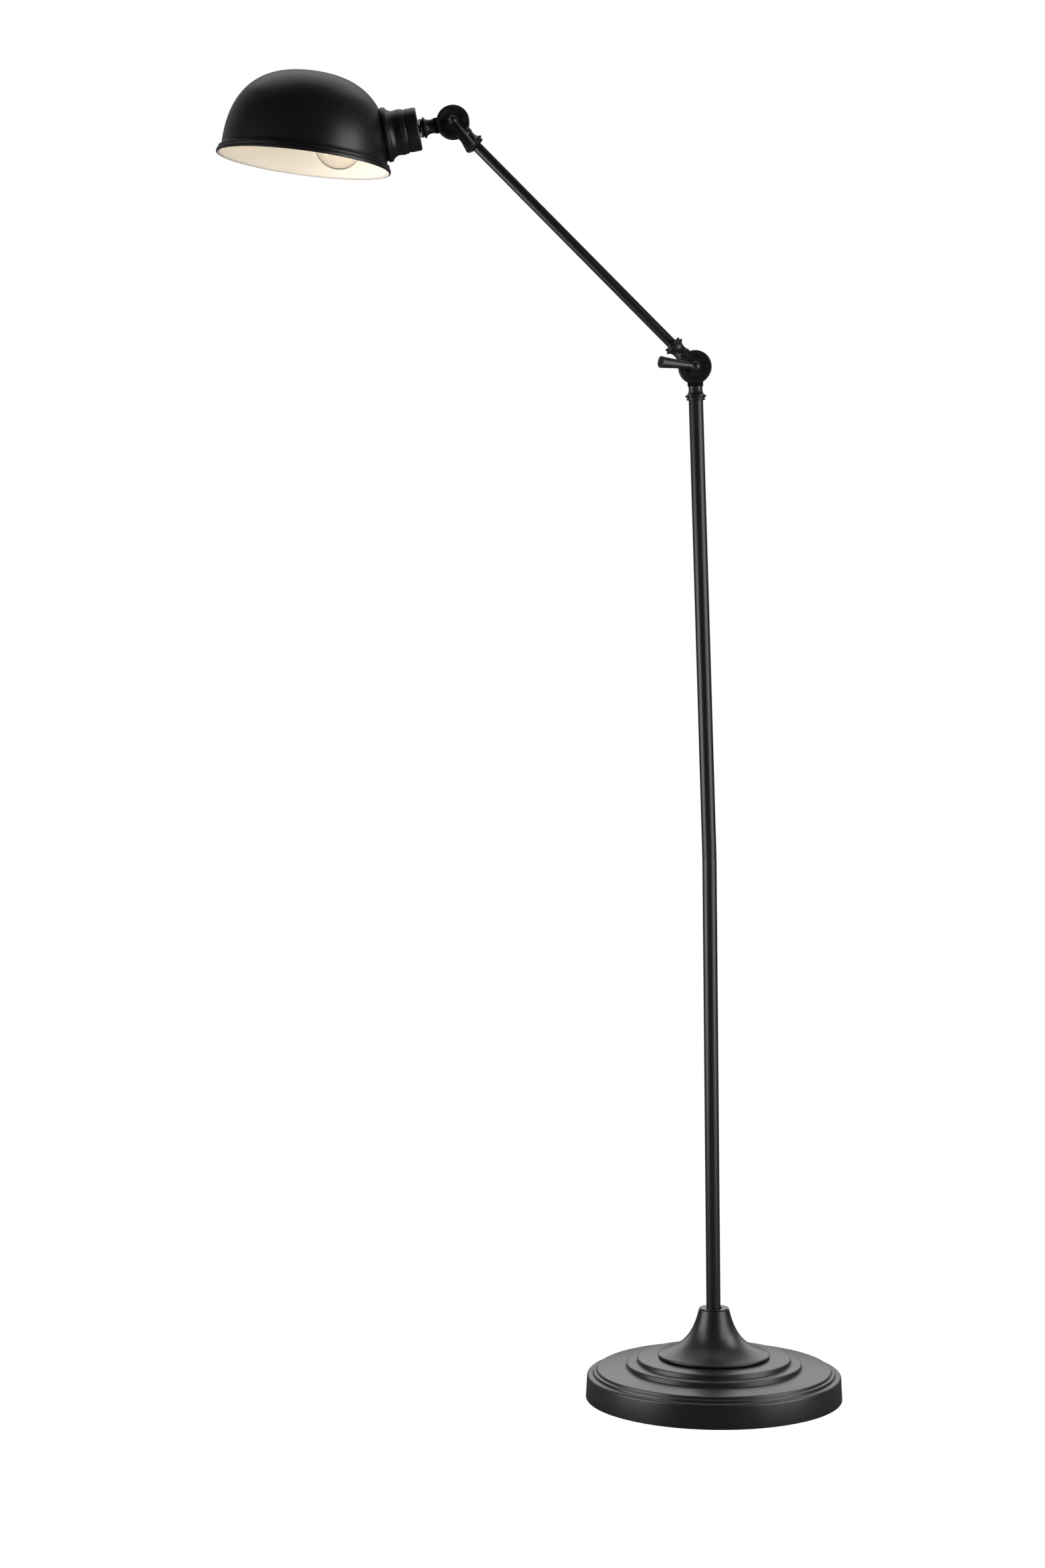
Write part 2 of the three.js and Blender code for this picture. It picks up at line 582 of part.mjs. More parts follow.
// Everything of one clamp but its half discs. Rear fittings stay with the rear half.
function clampFittings(joint, hinge, leverAngle) {
  const washerFoot = dishFloor + TOUCH;
  const nutFoot = washerFoot + WASHER_THICKNESS + TOUCH;
  const screwEnd = nutFoot + NUT_THICKNESS + SCREW_PROUD;
  const boreEnd = HUB_OUT + HUB_BORE_PAST_CENTRE;
  const friction = tube(screwHoleRadius, FRICTION_RADIUS, TOUCH - DISC_IN, DISC_IN - TOUCH, MIDDLE);
  const rearWasher = tube(screwHoleRadius, WASHER_RADIUS, washerFoot, washerFoot + WASHER_THICKNESS);
  add(`${joint}_friction_washer`, faceFront(friction), fibre, hinge);
  add(`${joint}_nut_washer`, faceRear(rearWasher), zincSteel, hinge);
  add(`${joint}_nut`, faceRear(nut(NUT_FLATS, screwHoleRadius, nutFoot, NUT_THICKNESS)), zincSteel, hinge);

  const lever = frameAt(hinge.position, leverAngle);
  const hubCentre = [0, -HUB_OUT, 0];
  const ball = (radius) => solid(new THREE.SphereGeometry(radius, COARSE, 10)).translate(hubCentre);
  const hubBoss = faceFront(rod(HUB_BOSS_RADIUS, hubFoot, HUB_OUT));
  const hubBore = faceFront(rod(screwHoleRadius, 0, boreEnd));
  const springWasher = tube(screwHoleRadius, SPRING_WASHER_RADIUS, washerFoot, hubFoot - TOUCH);
  const screw = rod(SCREW_RADIUS, -screwEnd, boreEnd - TOUCH);
  const handle = turned([
    [0, 0],
    [LEVER_ROOT_RADIUS, 0],
    [LEVER_END_RADIUS, LEVER_LENGTH - 0.8],
    [LEVER_END_RADIUS - 0.8, LEVER_LENGTH],
    [LEVER_END_RADIUS - 1.8, LEVER_LENGTH - LEVER_DISH],
    [0, LEVER_LENGTH - LEVER_DISH],
  ]).rotate([LEVER_TILT, 0, 0]).translate(hubCentre);
  add(`${joint}_spring_washer`, faceFront(springWasher), zincSteel, lever);
  add(`${joint}_screw`, faceFront(screw), zincSteel, lever);
  add(`${joint}_knob`, ball(HUB_RADIUS).add(hubBoss).subtract(hubBore), blackPaint, lever);
  add(`${joint}_lever`, handle.subtract(ball(HUB_RADIUS + TOUCH)), blackPaint, lever);
}

const poleSocket = POLE_RADIUS + RUNNING;
const armSocket = ARM_RADIUS + RUNNING;
const downward = (body) => body.rotate([180, 0, 0]); // also swaps the half disc to the rear
const backward = (body) => body.rotate([0, 180, 0]);
const toRear = (body) => body.rotate([0, 0, 180]);
const nippleStart = ROD_SOCKET_START + TOUCH;
const nippleEnd = tubeStart + PLUG_LENGTH;

const poleTopPlug = tube(rodSocketRadius, plugRadius, tubeStart, nippleEnd);
add("pole_top_plug", downward(poleTopPlug), zincSteel, elbowFrame);
add("pole_nipple", downward(tube(ROD_BORE, ROD_RADIUS, nippleStart, nippleEnd)), zincSteel, elbowFrame);
add("elbow_pole_knuckle", downward(knuckle(poleSocket)), blackPaint, elbowFrame);
add("elbow_arm_knuckle", knuckle(armSocket), blackPaint, armFrame);
clampFittings("elbow", elbowFrame, ELBOW_LEVER_ANGLE);

// ---- Arm ------------------------------------------------------------------------------------

const armRod = () => tube(ROD_BORE, armBore - TOUCH, nippleStart, nippleEnd);
add("arm_tube", tube(armBore, ARM_RADIUS, tubeStart, ARM_LENGTH - tubeStart), blackPaint, armFrame);
add("arm_lower_nipple", armRod(), zincSteel, armFrame);
add("arm_upper_nipple", backward(armRod()), zincSteel, armEndFrame);
add("arm_lead", rod(LEAD_RADIUS, nippleStart, ARM_LENGTH - nippleStart, 8), cableSheath, armFrame);
add("head_arm_knuckle", backward(knuckle(armSocket)), blackPaint, armEndFrame);
add("head_neck_knuckle", toRear(knuckle(rodSocketRadius)), blackPaint, headFrame);
clampFittings("head", headFrame, HEAD_LEVER_ANGLE);

// ---- Neck -----------------------------------------------------------------------------------

// The dome's wall from a height above the opening's plane to the crown, as a superellipse.
function domeOutline(radius, height, from, steps) {
  const power = SHADE_SQUARENESS;
  const start = Math.asin((from / height) ** (power / 2));
  return Array.from({ length: steps + 1 }, (_, i) => {
    const t = start + ((Math.PI / 2 - start) * i) / steps;
    return [radius * Math.cos(t) ** (2 / power), height * Math.sin(t) ** (2 / power)];
  });
}

const closeAtAxis = (outline) => outline.map(([r, z], i) => [i === outline.length - 1 ? 0 : r, z]);

// The dome's outer solid, grown by a gap, in its own frame.
function domeBody(growth) {
  const wall = domeOutline(SHADE_RADIUS + growth, SHADE_HEIGHT + growth, RIM_HEIGHT, DOME_STEPS);
  return turned([[0, RIM_HEIGHT - 8], [wall[0][0], RIM_HEIGHT - 8], ...closeAtAxis(wall)], FINE);
}

function socketCup() {
  const at = (radius, along) => [radius, cupStart + along];
  const outline = [
    at(ROD_RADIUS + RUNNING, 0),
    ...arc(at(cupRadius - CUP_CORNER, CUP_CORNER), CUP_CORNER, -90, 0, 2),
    at(cupRadius, CUP_BAND),
    at(cupRadius - 0.5, CUP_BAND + 0.9),
    at(cupRadius + 0.3, CUP_BAND + 2),
    at(cupRadius + CUP_BULGE_SWELL, CUP_BULGE),
    at(cupRadius + CUP_WAIST_SWELL, CUP_WAIST),
    at(cupRadius + CUP_WAIST_SWELL + 1.6, CUP_WAIST + 3.6),
    at(flangeRadius - 2.2, CUP_FLANGE - 1.4),
    at(flangeRadius, CUP_FLANGE),
    at(flangeRadius, CUP_FLANGE + 20),
  ];
  const plain = outline.filter((_, i) => i < 2 || i > 7 || i === 3 || i === 4);
  const cup = spunSheet(outline, inset(plain, CUP_SHEET), MIDDLE);
  return cup.subtract(seenFrom(headFrame, shadeFrame, domeBody(TOUCH)));
}

const ringStart = COLLAR_END + TOUCH;
const neckNippleEnd = holderStart + HOLDER_FLOOR - TOUCH;
const neckRing = tube(rodSocketRadius, NECK_RING_RADIUS, ringStart, ringStart + NECK_RING_THICKNESS);

add("neck_ring", neckRing, blackPaint, headFrame);
add("neck_nipple", tube(ROD_BORE, ROD_RADIUS, nippleStart, neckNippleEnd), zincSteel, headFrame);
add("neck_nut", nut(ROD_NUT_FLATS, rodSocketRadius, neckNutStart, ROD_NUT_THICKNESS), zincSteel, headFrame);
add("socket_cup", socketCup(), blackPaint, headFrame);

// ---- Shade ----------------------------------------------------------------------------------

function shade() {
  const rim = [
    [SHADE_RADIUS + RIM_OVERHANG - 1.4, 0],
    [SHADE_RADIUS + RIM_OVERHANG, 1.6],
    [SHADE_RADIUS + RIM_OVERHANG - 0.2, 3.4],
    [SHADE_RADIUS + 2.8, 6],
    [SHADE_RADIUS + 2.4, 8],
  ];
  const outer = [...rim, ...closeAtAxis(domeOutline(SHADE_RADIUS, SHADE_HEIGHT, RIM_HEIGHT, DOME_STEPS))];
  const lining = domeOutline(SHADE_RADIUS - SHADE_SHEET, SHADE_HEIGHT - SHADE_SHEET, RIM_HEIGHT, DOME_STEPS);
  const inner = [[SHADE_RADIUS + 1, 1.4], ...closeAtAxis(lining)];
  const hole = rod(holderRadius + SHADE_HOLE_SLACK, holderStart, holderEnd + 20, MIDDLE);
  const bowl = spunSheet(outer, inner, FINE);
  return bowl.subtract(seenFrom(shadeFrame, headFrame, hole));
}

add("shade", shade(), creamEnamel, shadeFrame);

// ---- Lampholder -----------------------------------------------------------------------------

const holder = turned([
  [rodSocketRadius, holderStart],
  [holderRadius - 3, holderStart],
  [holderRadius, holderStart + 3],
  [holderRadius, holderEnd],
  [holderBore, holderEnd],
  [holderBore, holderStart + HOLDER_FLOOR],
  [rodSocketRadius, holderStart + HOLDER_FLOOR],
]);
const shadeRingStart = SHADE_FACE + SHADE_RING_IN_SHADE;
const shadeRing = tube(holderRadius + RUNNING, holderRadius + SHADE_RING_WIDTH, shadeRingStart,
  shadeRingStart + SHADE_RING_THICKNESS);
const insert = tube(ROD_BORE, holderBore - TOUCH, insertStart, insertStart + INSERT_THICKNESS);
const screwShell = tube(shellBore, shellBore + SHELL_WALL, contactStart, capEnd);

add("lampholder_body", holder, blackPaint, headFrame);
add("lampholder_insert", insert, ceramic, headFrame);
add("lampholder_screw_shell", screwShell, brass, headFrame);
const contact = rod(CONTACT_RADIUS, contactStart, contactStart + CONTACT_THICKNESS);
add("lampholder_contact", contact, brass, headFrame);
add("shade_ring", shadeRing, blackPaint, headFrame);

// ---- Bulb -----------------------------------------------------------------------------------

const glassStart = capEnd - BULB_NECK_INSET;
const stemStart = glassStart - 3;
const stemEnd = globeCentre - 14;

const bulbCap = turned([
  [0, bulbStart],
  [CONTACT_RADIUS, bulbStart],
  [BULB_CAP_RADIUS - 3, bulbStart + 3],
  [BULB_CAP_RADIUS, bulbStart + 5],
  [BULB_CAP_RADIUS, capEnd],
  [BULB_CAP_RADIUS - BULB_CAP_WALL, capEnd],
  [BULB_CAP_RADIUS - BULB_CAP_WALL, glassStart - TOUCH - 4],
  [0, glassStart - TOUCH - 4],
]);

function bulbGlass() {
  const shoulder = 26; // degrees below the globe's widest circle where the neck's curve begins
  const neck = (radius, share) => [radius, capEnd + (globeCentre - capEnd) * share];
  const globe = arc([0, globeCentre], BULB_RADIUS, -shoulder, 90, 8);
  const outline = [
    [bulbNeckRadius, glassStart],
    neck(bulbNeckRadius, 0.02),
    neck(bulbNeckRadius + 1.6, 0.18),
    neck(bulbNeckRadius + 5.3, 0.4),
    neck(bulbNeckRadius + 9.5, 0.58),
    ...closeAtAxis(globe),
  ];
  const inside = closeAtAxis(inset(outline, BULB_GLASS));
  return turned([...outline, ...inside.reverse()]);
}

// The glass stem stands in the cap and carries the filament's arch on its wires.
const stem = turned([
  [0, stemStart],
  [STEM_RADIUS * 2, stemStart],
  [STEM_RADIUS, stemStart + 10],
  [STEM_RADIUS * 0.7, stemEnd],
  [0, stemEnd],
], 10);

function filament() {
  const from = stemEnd + TOUCH + FILAMENT_RADIUS;
  const path = new THREE.CatmullRomCurve3([
    new THREE.Vector3(0, 0, from),
    new THREE.Vector3(0, -FILAMENT_HALF_WIDTH * 0.5, from + 5),
    new THREE.Vector3(0, -FILAMENT_HALF_WIDTH, from + 14),
    new THREE.Vector3(0, 0, from + 17),
    new THREE.Vector3(0, FILAMENT_HALF_WIDTH, from + 14),
  ]);
  const sides = 6;
  const section = Array.from({ length: sides }, (_, i) => new THREE.Vector2(
    FILAMENT_RADIUS * Math.cos((2 * Math.PI * i) / sides),
    FILAMENT_RADIUS * Math.sin((2 * Math.PI * i) / sides),
  ));
  return solid(new THREE.ExtrudeGeometry(new THREE.Shape(section), { steps: 24, extrudePath: path }));
}

add("bulb_cap", bulbCap, nickel, headFrame);
add("bulb_glass", bulbGlass(), clearGlass, headFrame);
add("bulb_stem", stem, clearGlass, headFrame);
add("bulb_filament", filament(), tungsten, headFrame);

export default lamp;
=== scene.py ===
"""Looks of an adjustable arm floor lamp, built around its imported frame. Metres, +Z up, shade towards -X."""

import json
import math

import bmesh
import bpy
from bpy.props import FloatProperty, FloatVectorProperty, IntProperty, PointerProperty
from mathutils import Matrix, Vector


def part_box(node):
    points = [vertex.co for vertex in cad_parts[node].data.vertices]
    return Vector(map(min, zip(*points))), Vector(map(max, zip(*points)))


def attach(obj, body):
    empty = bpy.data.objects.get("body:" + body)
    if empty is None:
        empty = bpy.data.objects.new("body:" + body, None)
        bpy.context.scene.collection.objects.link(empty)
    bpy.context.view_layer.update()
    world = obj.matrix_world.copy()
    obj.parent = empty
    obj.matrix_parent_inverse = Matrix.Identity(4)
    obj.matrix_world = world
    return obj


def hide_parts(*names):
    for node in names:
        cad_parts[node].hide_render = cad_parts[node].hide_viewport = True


bl_info = {
    "name": "Adjustable Arm Floor Lamp",
    "version": (1, 0, 0),
    "blender": (4, 5, 0),
    "location": "3D Viewport > Sidebar > Floor Lamp",
    "description": "Builds the fine surfaces and finishes of an adjustable arm floor lamp",
    "category": "Add Mesh",
}

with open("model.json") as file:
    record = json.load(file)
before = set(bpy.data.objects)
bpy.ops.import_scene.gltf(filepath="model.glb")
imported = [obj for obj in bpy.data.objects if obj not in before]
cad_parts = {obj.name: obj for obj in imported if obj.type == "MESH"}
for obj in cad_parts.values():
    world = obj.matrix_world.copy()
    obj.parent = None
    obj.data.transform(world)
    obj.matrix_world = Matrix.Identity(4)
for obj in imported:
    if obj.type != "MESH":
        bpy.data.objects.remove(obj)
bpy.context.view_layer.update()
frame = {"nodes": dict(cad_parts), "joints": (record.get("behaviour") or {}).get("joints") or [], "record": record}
JOINTS = {joint["name"]: Vector(joint["pos_m"]) for joint in frame["joints"]}

MM = 0.001
SHARP = math.radians(32)

# In millimetres. The drops run down from the top of the base's cover.
# The starts and ends run along the neck from its hinge.
TOUCH = 0.3
KNUCKLE_GAP = 0.8
KNUCKLE_WAIST = 14.6
COVER_SHEET = 1.9
SHELF_DROP = 14.6
TREAD_DROP = 7.1
SCREW_BORE = 3.3
NECK_BORE = 4.8
CUP_START = 39.2
CUP_LIP = 6.7
HOLDER_START = 50.0
HOLDER_END = 92.0
HOLDER_R = 19.5
HOLDER_BORE = 16.5
BULB_START = 62.5
BULB_WALL = 0.6
RIM_TOP = 9.4


# ---- Places read from the frame ----


def corners(node):
    return [vertex.co.copy() for vertex in frame["nodes"][node].data.vertices]


def mean(points):
    return sum(points, Vector()) / len(points)


def far_end(node, start):
    """The middle of the end ring of a node that lies farthest from a point."""
    points = corners(node)
    reach = max((point - start).length for point in points)
    return mean([point for point in points if (point - start).length > 0.9 * reach])


def leaning_frame(origin, toward):
    """Local +Z points at a place in the XZ plane and local +Y is the world's."""
    up = toward - origin
    up.y = 0
    up.normalize()
    side = Vector((0, 1, 0))
    out = side.cross(up)
    turn = Matrix((out, side, up)).transposed().to_4x4()
    return Matrix.Translation(origin) @ turn


def size_mm(node, axis):
    low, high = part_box(node)
    return (high[axis] - low[axis]) / MM


ELBOW = JOINTS["elbow_tilt"]
HEAD = JOINTS["head_tilt"]
COVER_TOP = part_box("base_weight")[1].z / MM + COVER_SHEET
BELL_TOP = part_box("base_bell")[1].z / MM
POLE_R = size_mm("pole_upper", 1) / 2
ARM_R = size_mm("arm_tube", 1) / 2
BASE_R = size_mm("base_cover", 0) / 2
BELL_R = size_mm("base_bell", 0) / 2
CUP_R = size_mm("socket_cup", 1) / 2 - CUP_LIP
SHADE_RIM_R = size_mm("shade", 1) / 2
POLE_FOOT = Vector((0, 0, COVER_TOP * MM))
SEAM = far_end("pole_lower", POLE_FOOT)

POLE_FRAME = leaning_frame(POLE_FOOT, SEAM)
UPPER_FRAME = leaning_frame(SEAM, ELBOW)
ELBOW_FRAME = leaning_frame(ELBOW, ELBOW + (ELBOW - SEAM))
ARM_FRAME = leaning_frame(ELBOW, HEAD)
ARM_END_FRAME = leaning_frame(HEAD, HEAD + (HEAD - ELBOW))
NECK_FRAME = leaning_frame(HEAD, far_end("neck_nipple", HEAD))


def lever_frame(joint, hinge):
    handle = far_end(f"{joint}_lever", hinge)
    return leaning_frame(hinge, Vector((handle.x, hinge.y, handle.z)))


# ---- Sizes and colours that a user would change ----


def measure(name, description, default):
    return FloatProperty(name=name, description=description, unit="LENGTH", default=default)


def lean_angle(name, description, degrees):
    return FloatProperty(name=name, description=description, subtype="ANGLE", default=math.radians(degrees))


def strength(name, description, default):
    return FloatProperty(name=name, description=description, min=0, default=default)


def paint_colour(name, description, default):
    return FloatVectorProperty(name=name, description=description, subtype="COLOR", size=3, default=default)


class LampFinishes(bpy.types.PropertyGroup):
    """Colours of the paint and the enamel."""

    paint: paint_colour("Paint", "Satin paint outside", (0.0085, 0.0085, 0.009))
    enamel: paint_colour("Enamel", "Inside of the shade", (0.93, 0.86, 0.75))
    paint_roughness: FloatProperty(
        name="Paint Roughness", description="Sheen of the paint", min=0.1, max=1, default=0.37
    )


class LampBaseSizes(bpy.types.PropertyGroup):
    """Sizes of the stepped base and its bell."""

    skirt_height: measure("Skirt Height", "Top of the skirt", 0.0285)
    corner: measure("Corner", "Rounding of the skirt", 0.0034)
    step_width: measure("Step Width", "Tread between steps", 0.0125)
    bell_tread: measure("Bell Tread", "Tread round the bell", 0.0236)
    bell_core: measure("Bell Core", "Radius the flare tends to", 0.0019)
    bell_top: measure("Bell Top", "Radius of the flat top", 0.0176)
    bell_steps: IntProperty(name="Bell Steps", description="Rings up the flare", min=8, max=128, default=56)


class LampJointSizes(bpy.types.PropertyGroup):
    """Sizes of the knuckles and their levers."""

    disc: measure("Disc", "Radius of a half disc", 0.0187)
    disc_out: measure("Disc Face", "Half thickness of a clamp", 0.0083)
    dish: measure("Dish", "Radius of the dished face", 0.0148)
    dish_depth: measure("Dish Depth", "Depth of the dish", 0.003)
    hub: measure("Hub", "Radius of a lever's ball", 0.0061)
    hub_out: measure("Hub Out", "Ball from the middle plane", 0.013)
    lever: measure("Lever", "Length of a handle", 0.0456)
    lever_end: measure("Lever End", "Radius of its end", 0.0067)
    lever_tilt: lean_angle("Lever Tilt", "Handle's lean from the disc", 26.4)


class LampShadeSizes(bpy.types.PropertyGroup):
    """Sizes of the spun dome."""

    radius: measure("Radius", "Wall above the rim", 0.0943)
    height: measure("Height", "Opening to crown", 0.1019)
    squareness: FloatProperty(
        name="Squareness", description="Power of the outline", min=1, max=4, default=2.55
    )
    lean: lean_angle("Lean", "Axis from upright", 6.75)
    sheet: measure("Sheet", "Thickness of the metal", 0.0012)


class LampBulbSizes(bpy.types.PropertyGroup):
    """Sizes of the clear bulb, its cap and its filament."""

    globe: measure("Globe", "Radius of the globe", 0.0288)
    length: measure("Length", "Contact to tip", 0.097)
    cap: measure("Cap", "Radius of the screw cap", 0.0132)
    cap_length: measure("Cap Length", "Length of the cap", 0.0255)
    thread_turns: FloatProperty(name="Thread Turns", description="Ridges on the cap", min=0, default=4.5)
    coil_turns: IntProperty(name="Coil Turns", description="Turns of the filament", min=4, default=46)


class LampLights(bpy.types.PropertyGroup):
    """Power of the studio panels in watts, and brightness of the floor and the surroundings."""

    left: strength("Left", "Low panel on the left", 24)
    right: strength("Right", "Tall panel on the right", 34)
    low_back: strength("Low Back", "Panel behind the base", 12)
    top: strength("Top", "Panel overhead", 9)
    base_left: strength("Base Left", "High panel for the base", 5)
    base_right: strength("Base Right", "High panel for the base", 10)
    knuckles: strength("Knuckles", "Small panel for the knuckles", 9)
    bulb: strength("Bulb", "Glow inside the shade", 0.17)
    floor: strength("Floor", "Brightness of the floor as it is seen", 0.99)
    front: strength("Front", "Dim glow from all round", 0.03)
    behind: strength("Behind", "Glow from behind and above", 0.28)


class LampSettings(bpy.types.PropertyGroup):
    """All settings of the lamp."""

    finishes: PointerProperty(type=LampFinishes)
    base: PointerProperty(type=LampBaseSizes)
    joints: PointerProperty(type=LampJointSizes)
    shade: PointerProperty(type=LampShadeSizes)
    bulb: PointerProperty(type=LampBulbSizes)
    lights: PointerProperty(type=LampLights)


def settings():
    return bpy.context.scene.floor_lamp


# ---- Nodes as expressions ----


class Wire:
    """A socket's value; operators on it add Math nodes."""

    def __init__(self, tree, socket):
        self.tree = tree
        self.socket = socket

    def maths(self, operation, other=None, reflected=False):
        node = self.tree.nodes.new("ShaderNodeMath")
        node.operation = operation
        values = [self] if other is None else [other, self] if reflected else [self, other]
        for slot, value in zip(node.inputs, values):
            connect(self.tree, value, slot)
        return Wire(self.tree, node.outputs[0])

    def __add__(self, other):
        return self.maths("ADD", other)

    __radd__ = __add__

    def __mul__(self, other):
        return self.maths("MULTIPLY", other)

    __rmul__ = __mul__

    def __sub__(self, other):
        return self.maths("SUBTRACT", other)

    def __rsub__(self, other):
        return self.maths("SUBTRACT", other, reflected=True)

    def __truediv__(self, other):
        return self.maths("DIVIDE", other)

    def __pow__(self, other):
        return self.maths("POWER", other)

    def sine(self):
        return self.maths("SINE")

    def cosine(self):
        return self.maths("COSINE")

    def clamped(self):
        return self.maths("MAXIMUM", 0.0).maths("MINIMUM", 1.0)


def connect(tree, value, slot):
    if isinstance(value, Wire):
        tree.links.new(value.socket, slot)
    else:
        slot.default_value = value


def add_node(tree, kind, options=None, sockets=None, output=0):
    """One node: its options first, then the values or links of its sockets."""
    node = tree.nodes.new(kind)
    for name, value in (options or {}).items():
        setattr(node, name, value)
    for name, value in (sockets or {}).items():
        connect(tree, value, node.inputs[name])
    return Wire(tree, node.outputs[output]) if node.outputs else node


# ---- Finishes ----


class Finish:
    """A material under way: object coordinates, one shader, and helpers for its patterns."""

    def __init__(self, name, **constants):
        self.material = bpy.data.materials.new(name)
        self.material.use_nodes = True
        self.tree = self.material.node_tree
        self.shader = self.tree.nodes["Principled BSDF"]
        for socket, value in constants.items():
            self.shader.inputs[socket.replace("_", " ")].default_value = value
        self.place = add_node(self.tree, "ShaderNodeTexCoord", output=3)

    def noise(self, scale, detail=2.0, stretch=(1, 1, 1)):
        place = self.place
        if stretch != (1, 1, 1):
            place = add_node(self.tree, "ShaderNodeMapping", None, {"Vector": place, "Scale": stretch})
        sockets = {"Vector": place, "Scale": scale, "Detail": detail}
        return add_node(self.tree, "ShaderNodeTexNoise", None, sockets)

    def blend(self, share, dark, light):
        sockets = {0: share, 6: (*dark, 1), 7: (*light, 1)}
        return add_node(self.tree, "ShaderNodeMix", {"data_type": "RGBA"}, sockets, output=2)

    def feed(self, socket, value):
        connect(self.tree, value, self.shader.inputs[socket])

    def bump(self, height, distance, strength=1.0):
        sockets = {"Height": height, "Distance": distance, "Strength": strength}
        self.feed("Normal", add_node(self.tree, "ShaderNodeBump", None, sockets))


def tinted(colour, factor):
    return tuple(min(channel * factor, 1.0) for channel in colour)


def satin_paint():
    """Baked black paint: a faint orange peel, cloudy sheen and a few specks of dust."""
    look = settings().finishes
    finish = Finish("satin_black_paint", Coat_Roughness=0.3, Specular_IOR_Level=0.5)
    cloud = finish.noise(14, 3)
    speck = ((finish.noise(2300, 1) - 0.72) * 14).clamped()
    share = (cloud * 0.8 + speck * 0.5).clamped()
    finish.feed("Base Color", finish.blend(share, tinted(look.paint, 0.8), tinted(look.paint, 1.7)))
    finish.feed("Roughness", look.paint_roughness - 0.04 + cloud * 0.09 + speck * 0.15)
    finish.feed("Coat Weight", 0.1 + cloud * 0.08)
    finish.bump(finish.noise(900, 2), 0.00003, 0.5)
    return finish.material


def cream_enamel():
    """Warm white enamel with a soft mottle and fine pits."""
    look = settings().finishes
    finish = Finish("warm_white_enamel", Coat_Roughness=0.25)
    mottle = finish.noise(22, 4)
    pit = ((finish.noise(1500, 1) - 0.68) * 10).clamped()
    share = (mottle - pit * 0.3).clamped()
    finish.feed("Base Color", finish.blend(share, tinted(look.enamel, 0.97), tinted(look.enamel, 1.03)))
    finish.feed("Roughness", 0.42 + mottle * 0.1)
    finish.feed("Coat Weight", 0.12 + mottle * 0.1)
    finish.bump(finish.noise(420, 2), 0.00005, 0.4)
    return finish.material


def brushed(name, colour, roughness, grain=(1, 1, 40)):
    """Bare or plated metal with fine drawn lines and dull patches."""
    finish = Finish(name, Metallic=1.0)
    lines = finish.noise(120, 4, grain)
    patch = finish.noise(45, 3)
    share = (lines * 0.5 + patch * 0.5).clamped()
    finish.feed("Base Color", finish.blend(share, tinted(colour, 0.78), tinted(colour, 1.08)))
    finish.feed("Roughness", roughness - 0.08 + patch * 0.22)
    finish.bump(lines, 0.00002, 0.35)
    return finish.material


def cast_iron():
    """Rough grey casting with a little rust in its hollows."""
    finish = Finish("cast_iron_skin", Metallic=0.7)
    grit = finish.noise(260, 6)
    rust = ((finish.noise(30, 4) - 0.58) * 5).clamped()
    finish.feed("Base Color", finish.blend(rust, (0.055, 0.055, 0.058), (0.11, 0.055, 0.03)))
    finish.feed("Roughness", 0.62 + grit * 0.25)
    finish.bump(grit, 0.0004, 0.7)
    return finish.material


def felt_fibres():
    """Dark pressed felt with clumped fibres."""
    finish = Finish("pressed_felt", Roughness=0.95, Sheen_Weight=0.4)
    fibre = finish.noise(1400, 5, (1, 3, 1))
    clump = finish.noise(130, 4)
    share = (fibre * 0.6 + clump * 0.4).clamped()
    finish.feed("Base Color", finish.blend(share, (0.012, 0.012, 0.013), (0.06, 0.06, 0.063)))
    finish.bump(fibre, 0.0004, 0.8)
    return finish.material


def moulded(name, colour, roughness, grain=700):
    """Rubber, fibre and cable sheath: an even colour with a fine moulded grain."""
    finish = Finish(name)
    skin = finish.noise(grain, 3)
    cloud = finish.noise(60, 3)
    finish.feed("Base Color", finish.blend(cloud, tinted(colour, 0.75), tinted(colour, 1.3)))
    finish.feed("Roughness", roughness - 0.05 + cloud * 0.12)
    finish.bump(skin, 0.0001, 0.5)
    return finish.material


def clear_glass():
    """Blown clear glass, slightly warm, with faint draw marks."""
    warm = (1.0, 0.985, 0.955, 1)
    finish = Finish("clear_blown_glass", IOR=1.45, Transmission_Weight=1.0, Base_Color=warm)
    wave = finish.noise(60, 2, (1, 1, 0.3))
    finish.feed("Roughness", 0.01 + wave * 0.02)
    finish.bump(wave, 0.0002, 0.15)
    return finish.material


def glowing_wire():
    """Grainy tungsten with an orange glow."""
    finish = Finish("tungsten_wire", Metallic=1.0, Emission_Strength=1.5)
    grain = finish.noise(2500, 2)
    finish.feed("Base Color", finish.blend(grain, (0.2, 0.18, 0.16), (0.4, 0.37, 0.33)))
    finish.feed("Emission Color", finish.blend(grain, (0.9, 0.42, 0.12), (1.0, 0.62, 0.28)))
    finish.feed("Roughness", 0.3 + grain * 0.2)
    return finish.material


FINISH_MAKERS = {
    "black_paint": satin_paint,
    "shade_sheet": cream_enamel,
    "iron": cast_iron,
    "zinc_steel": lambda: brushed("zinc_plated_steel", (0.62, 0.63, 0.65), 0.34),
    "felt": felt_fibres,
    "rubber": lambda: moulded("moulded_rubber", (0.02, 0.02, 0.021), 0.72),
    "fibre": lambda: moulded("pressed_fibre", (0.16, 0.05, 0.03), 0.7, 1500),
    "ceramic": lambda: moulded("glazed_ceramic", (0.62, 0.6, 0.55), 0.22, 300),
    "brass": lambda: brushed("spun_brass", (0.75, 0.53, 0.21), 0.26),
    "nickel": lambda: brushed("nickel_plate", (0.7, 0.67, 0.62), 0.24),
    "clear_glass": clear_glass,
    "tungsten": glowing_wire,
    "cable_sheath": lambda: moulded("cable_sheath", (0.03, 0.03, 0.03), 0.55),
}
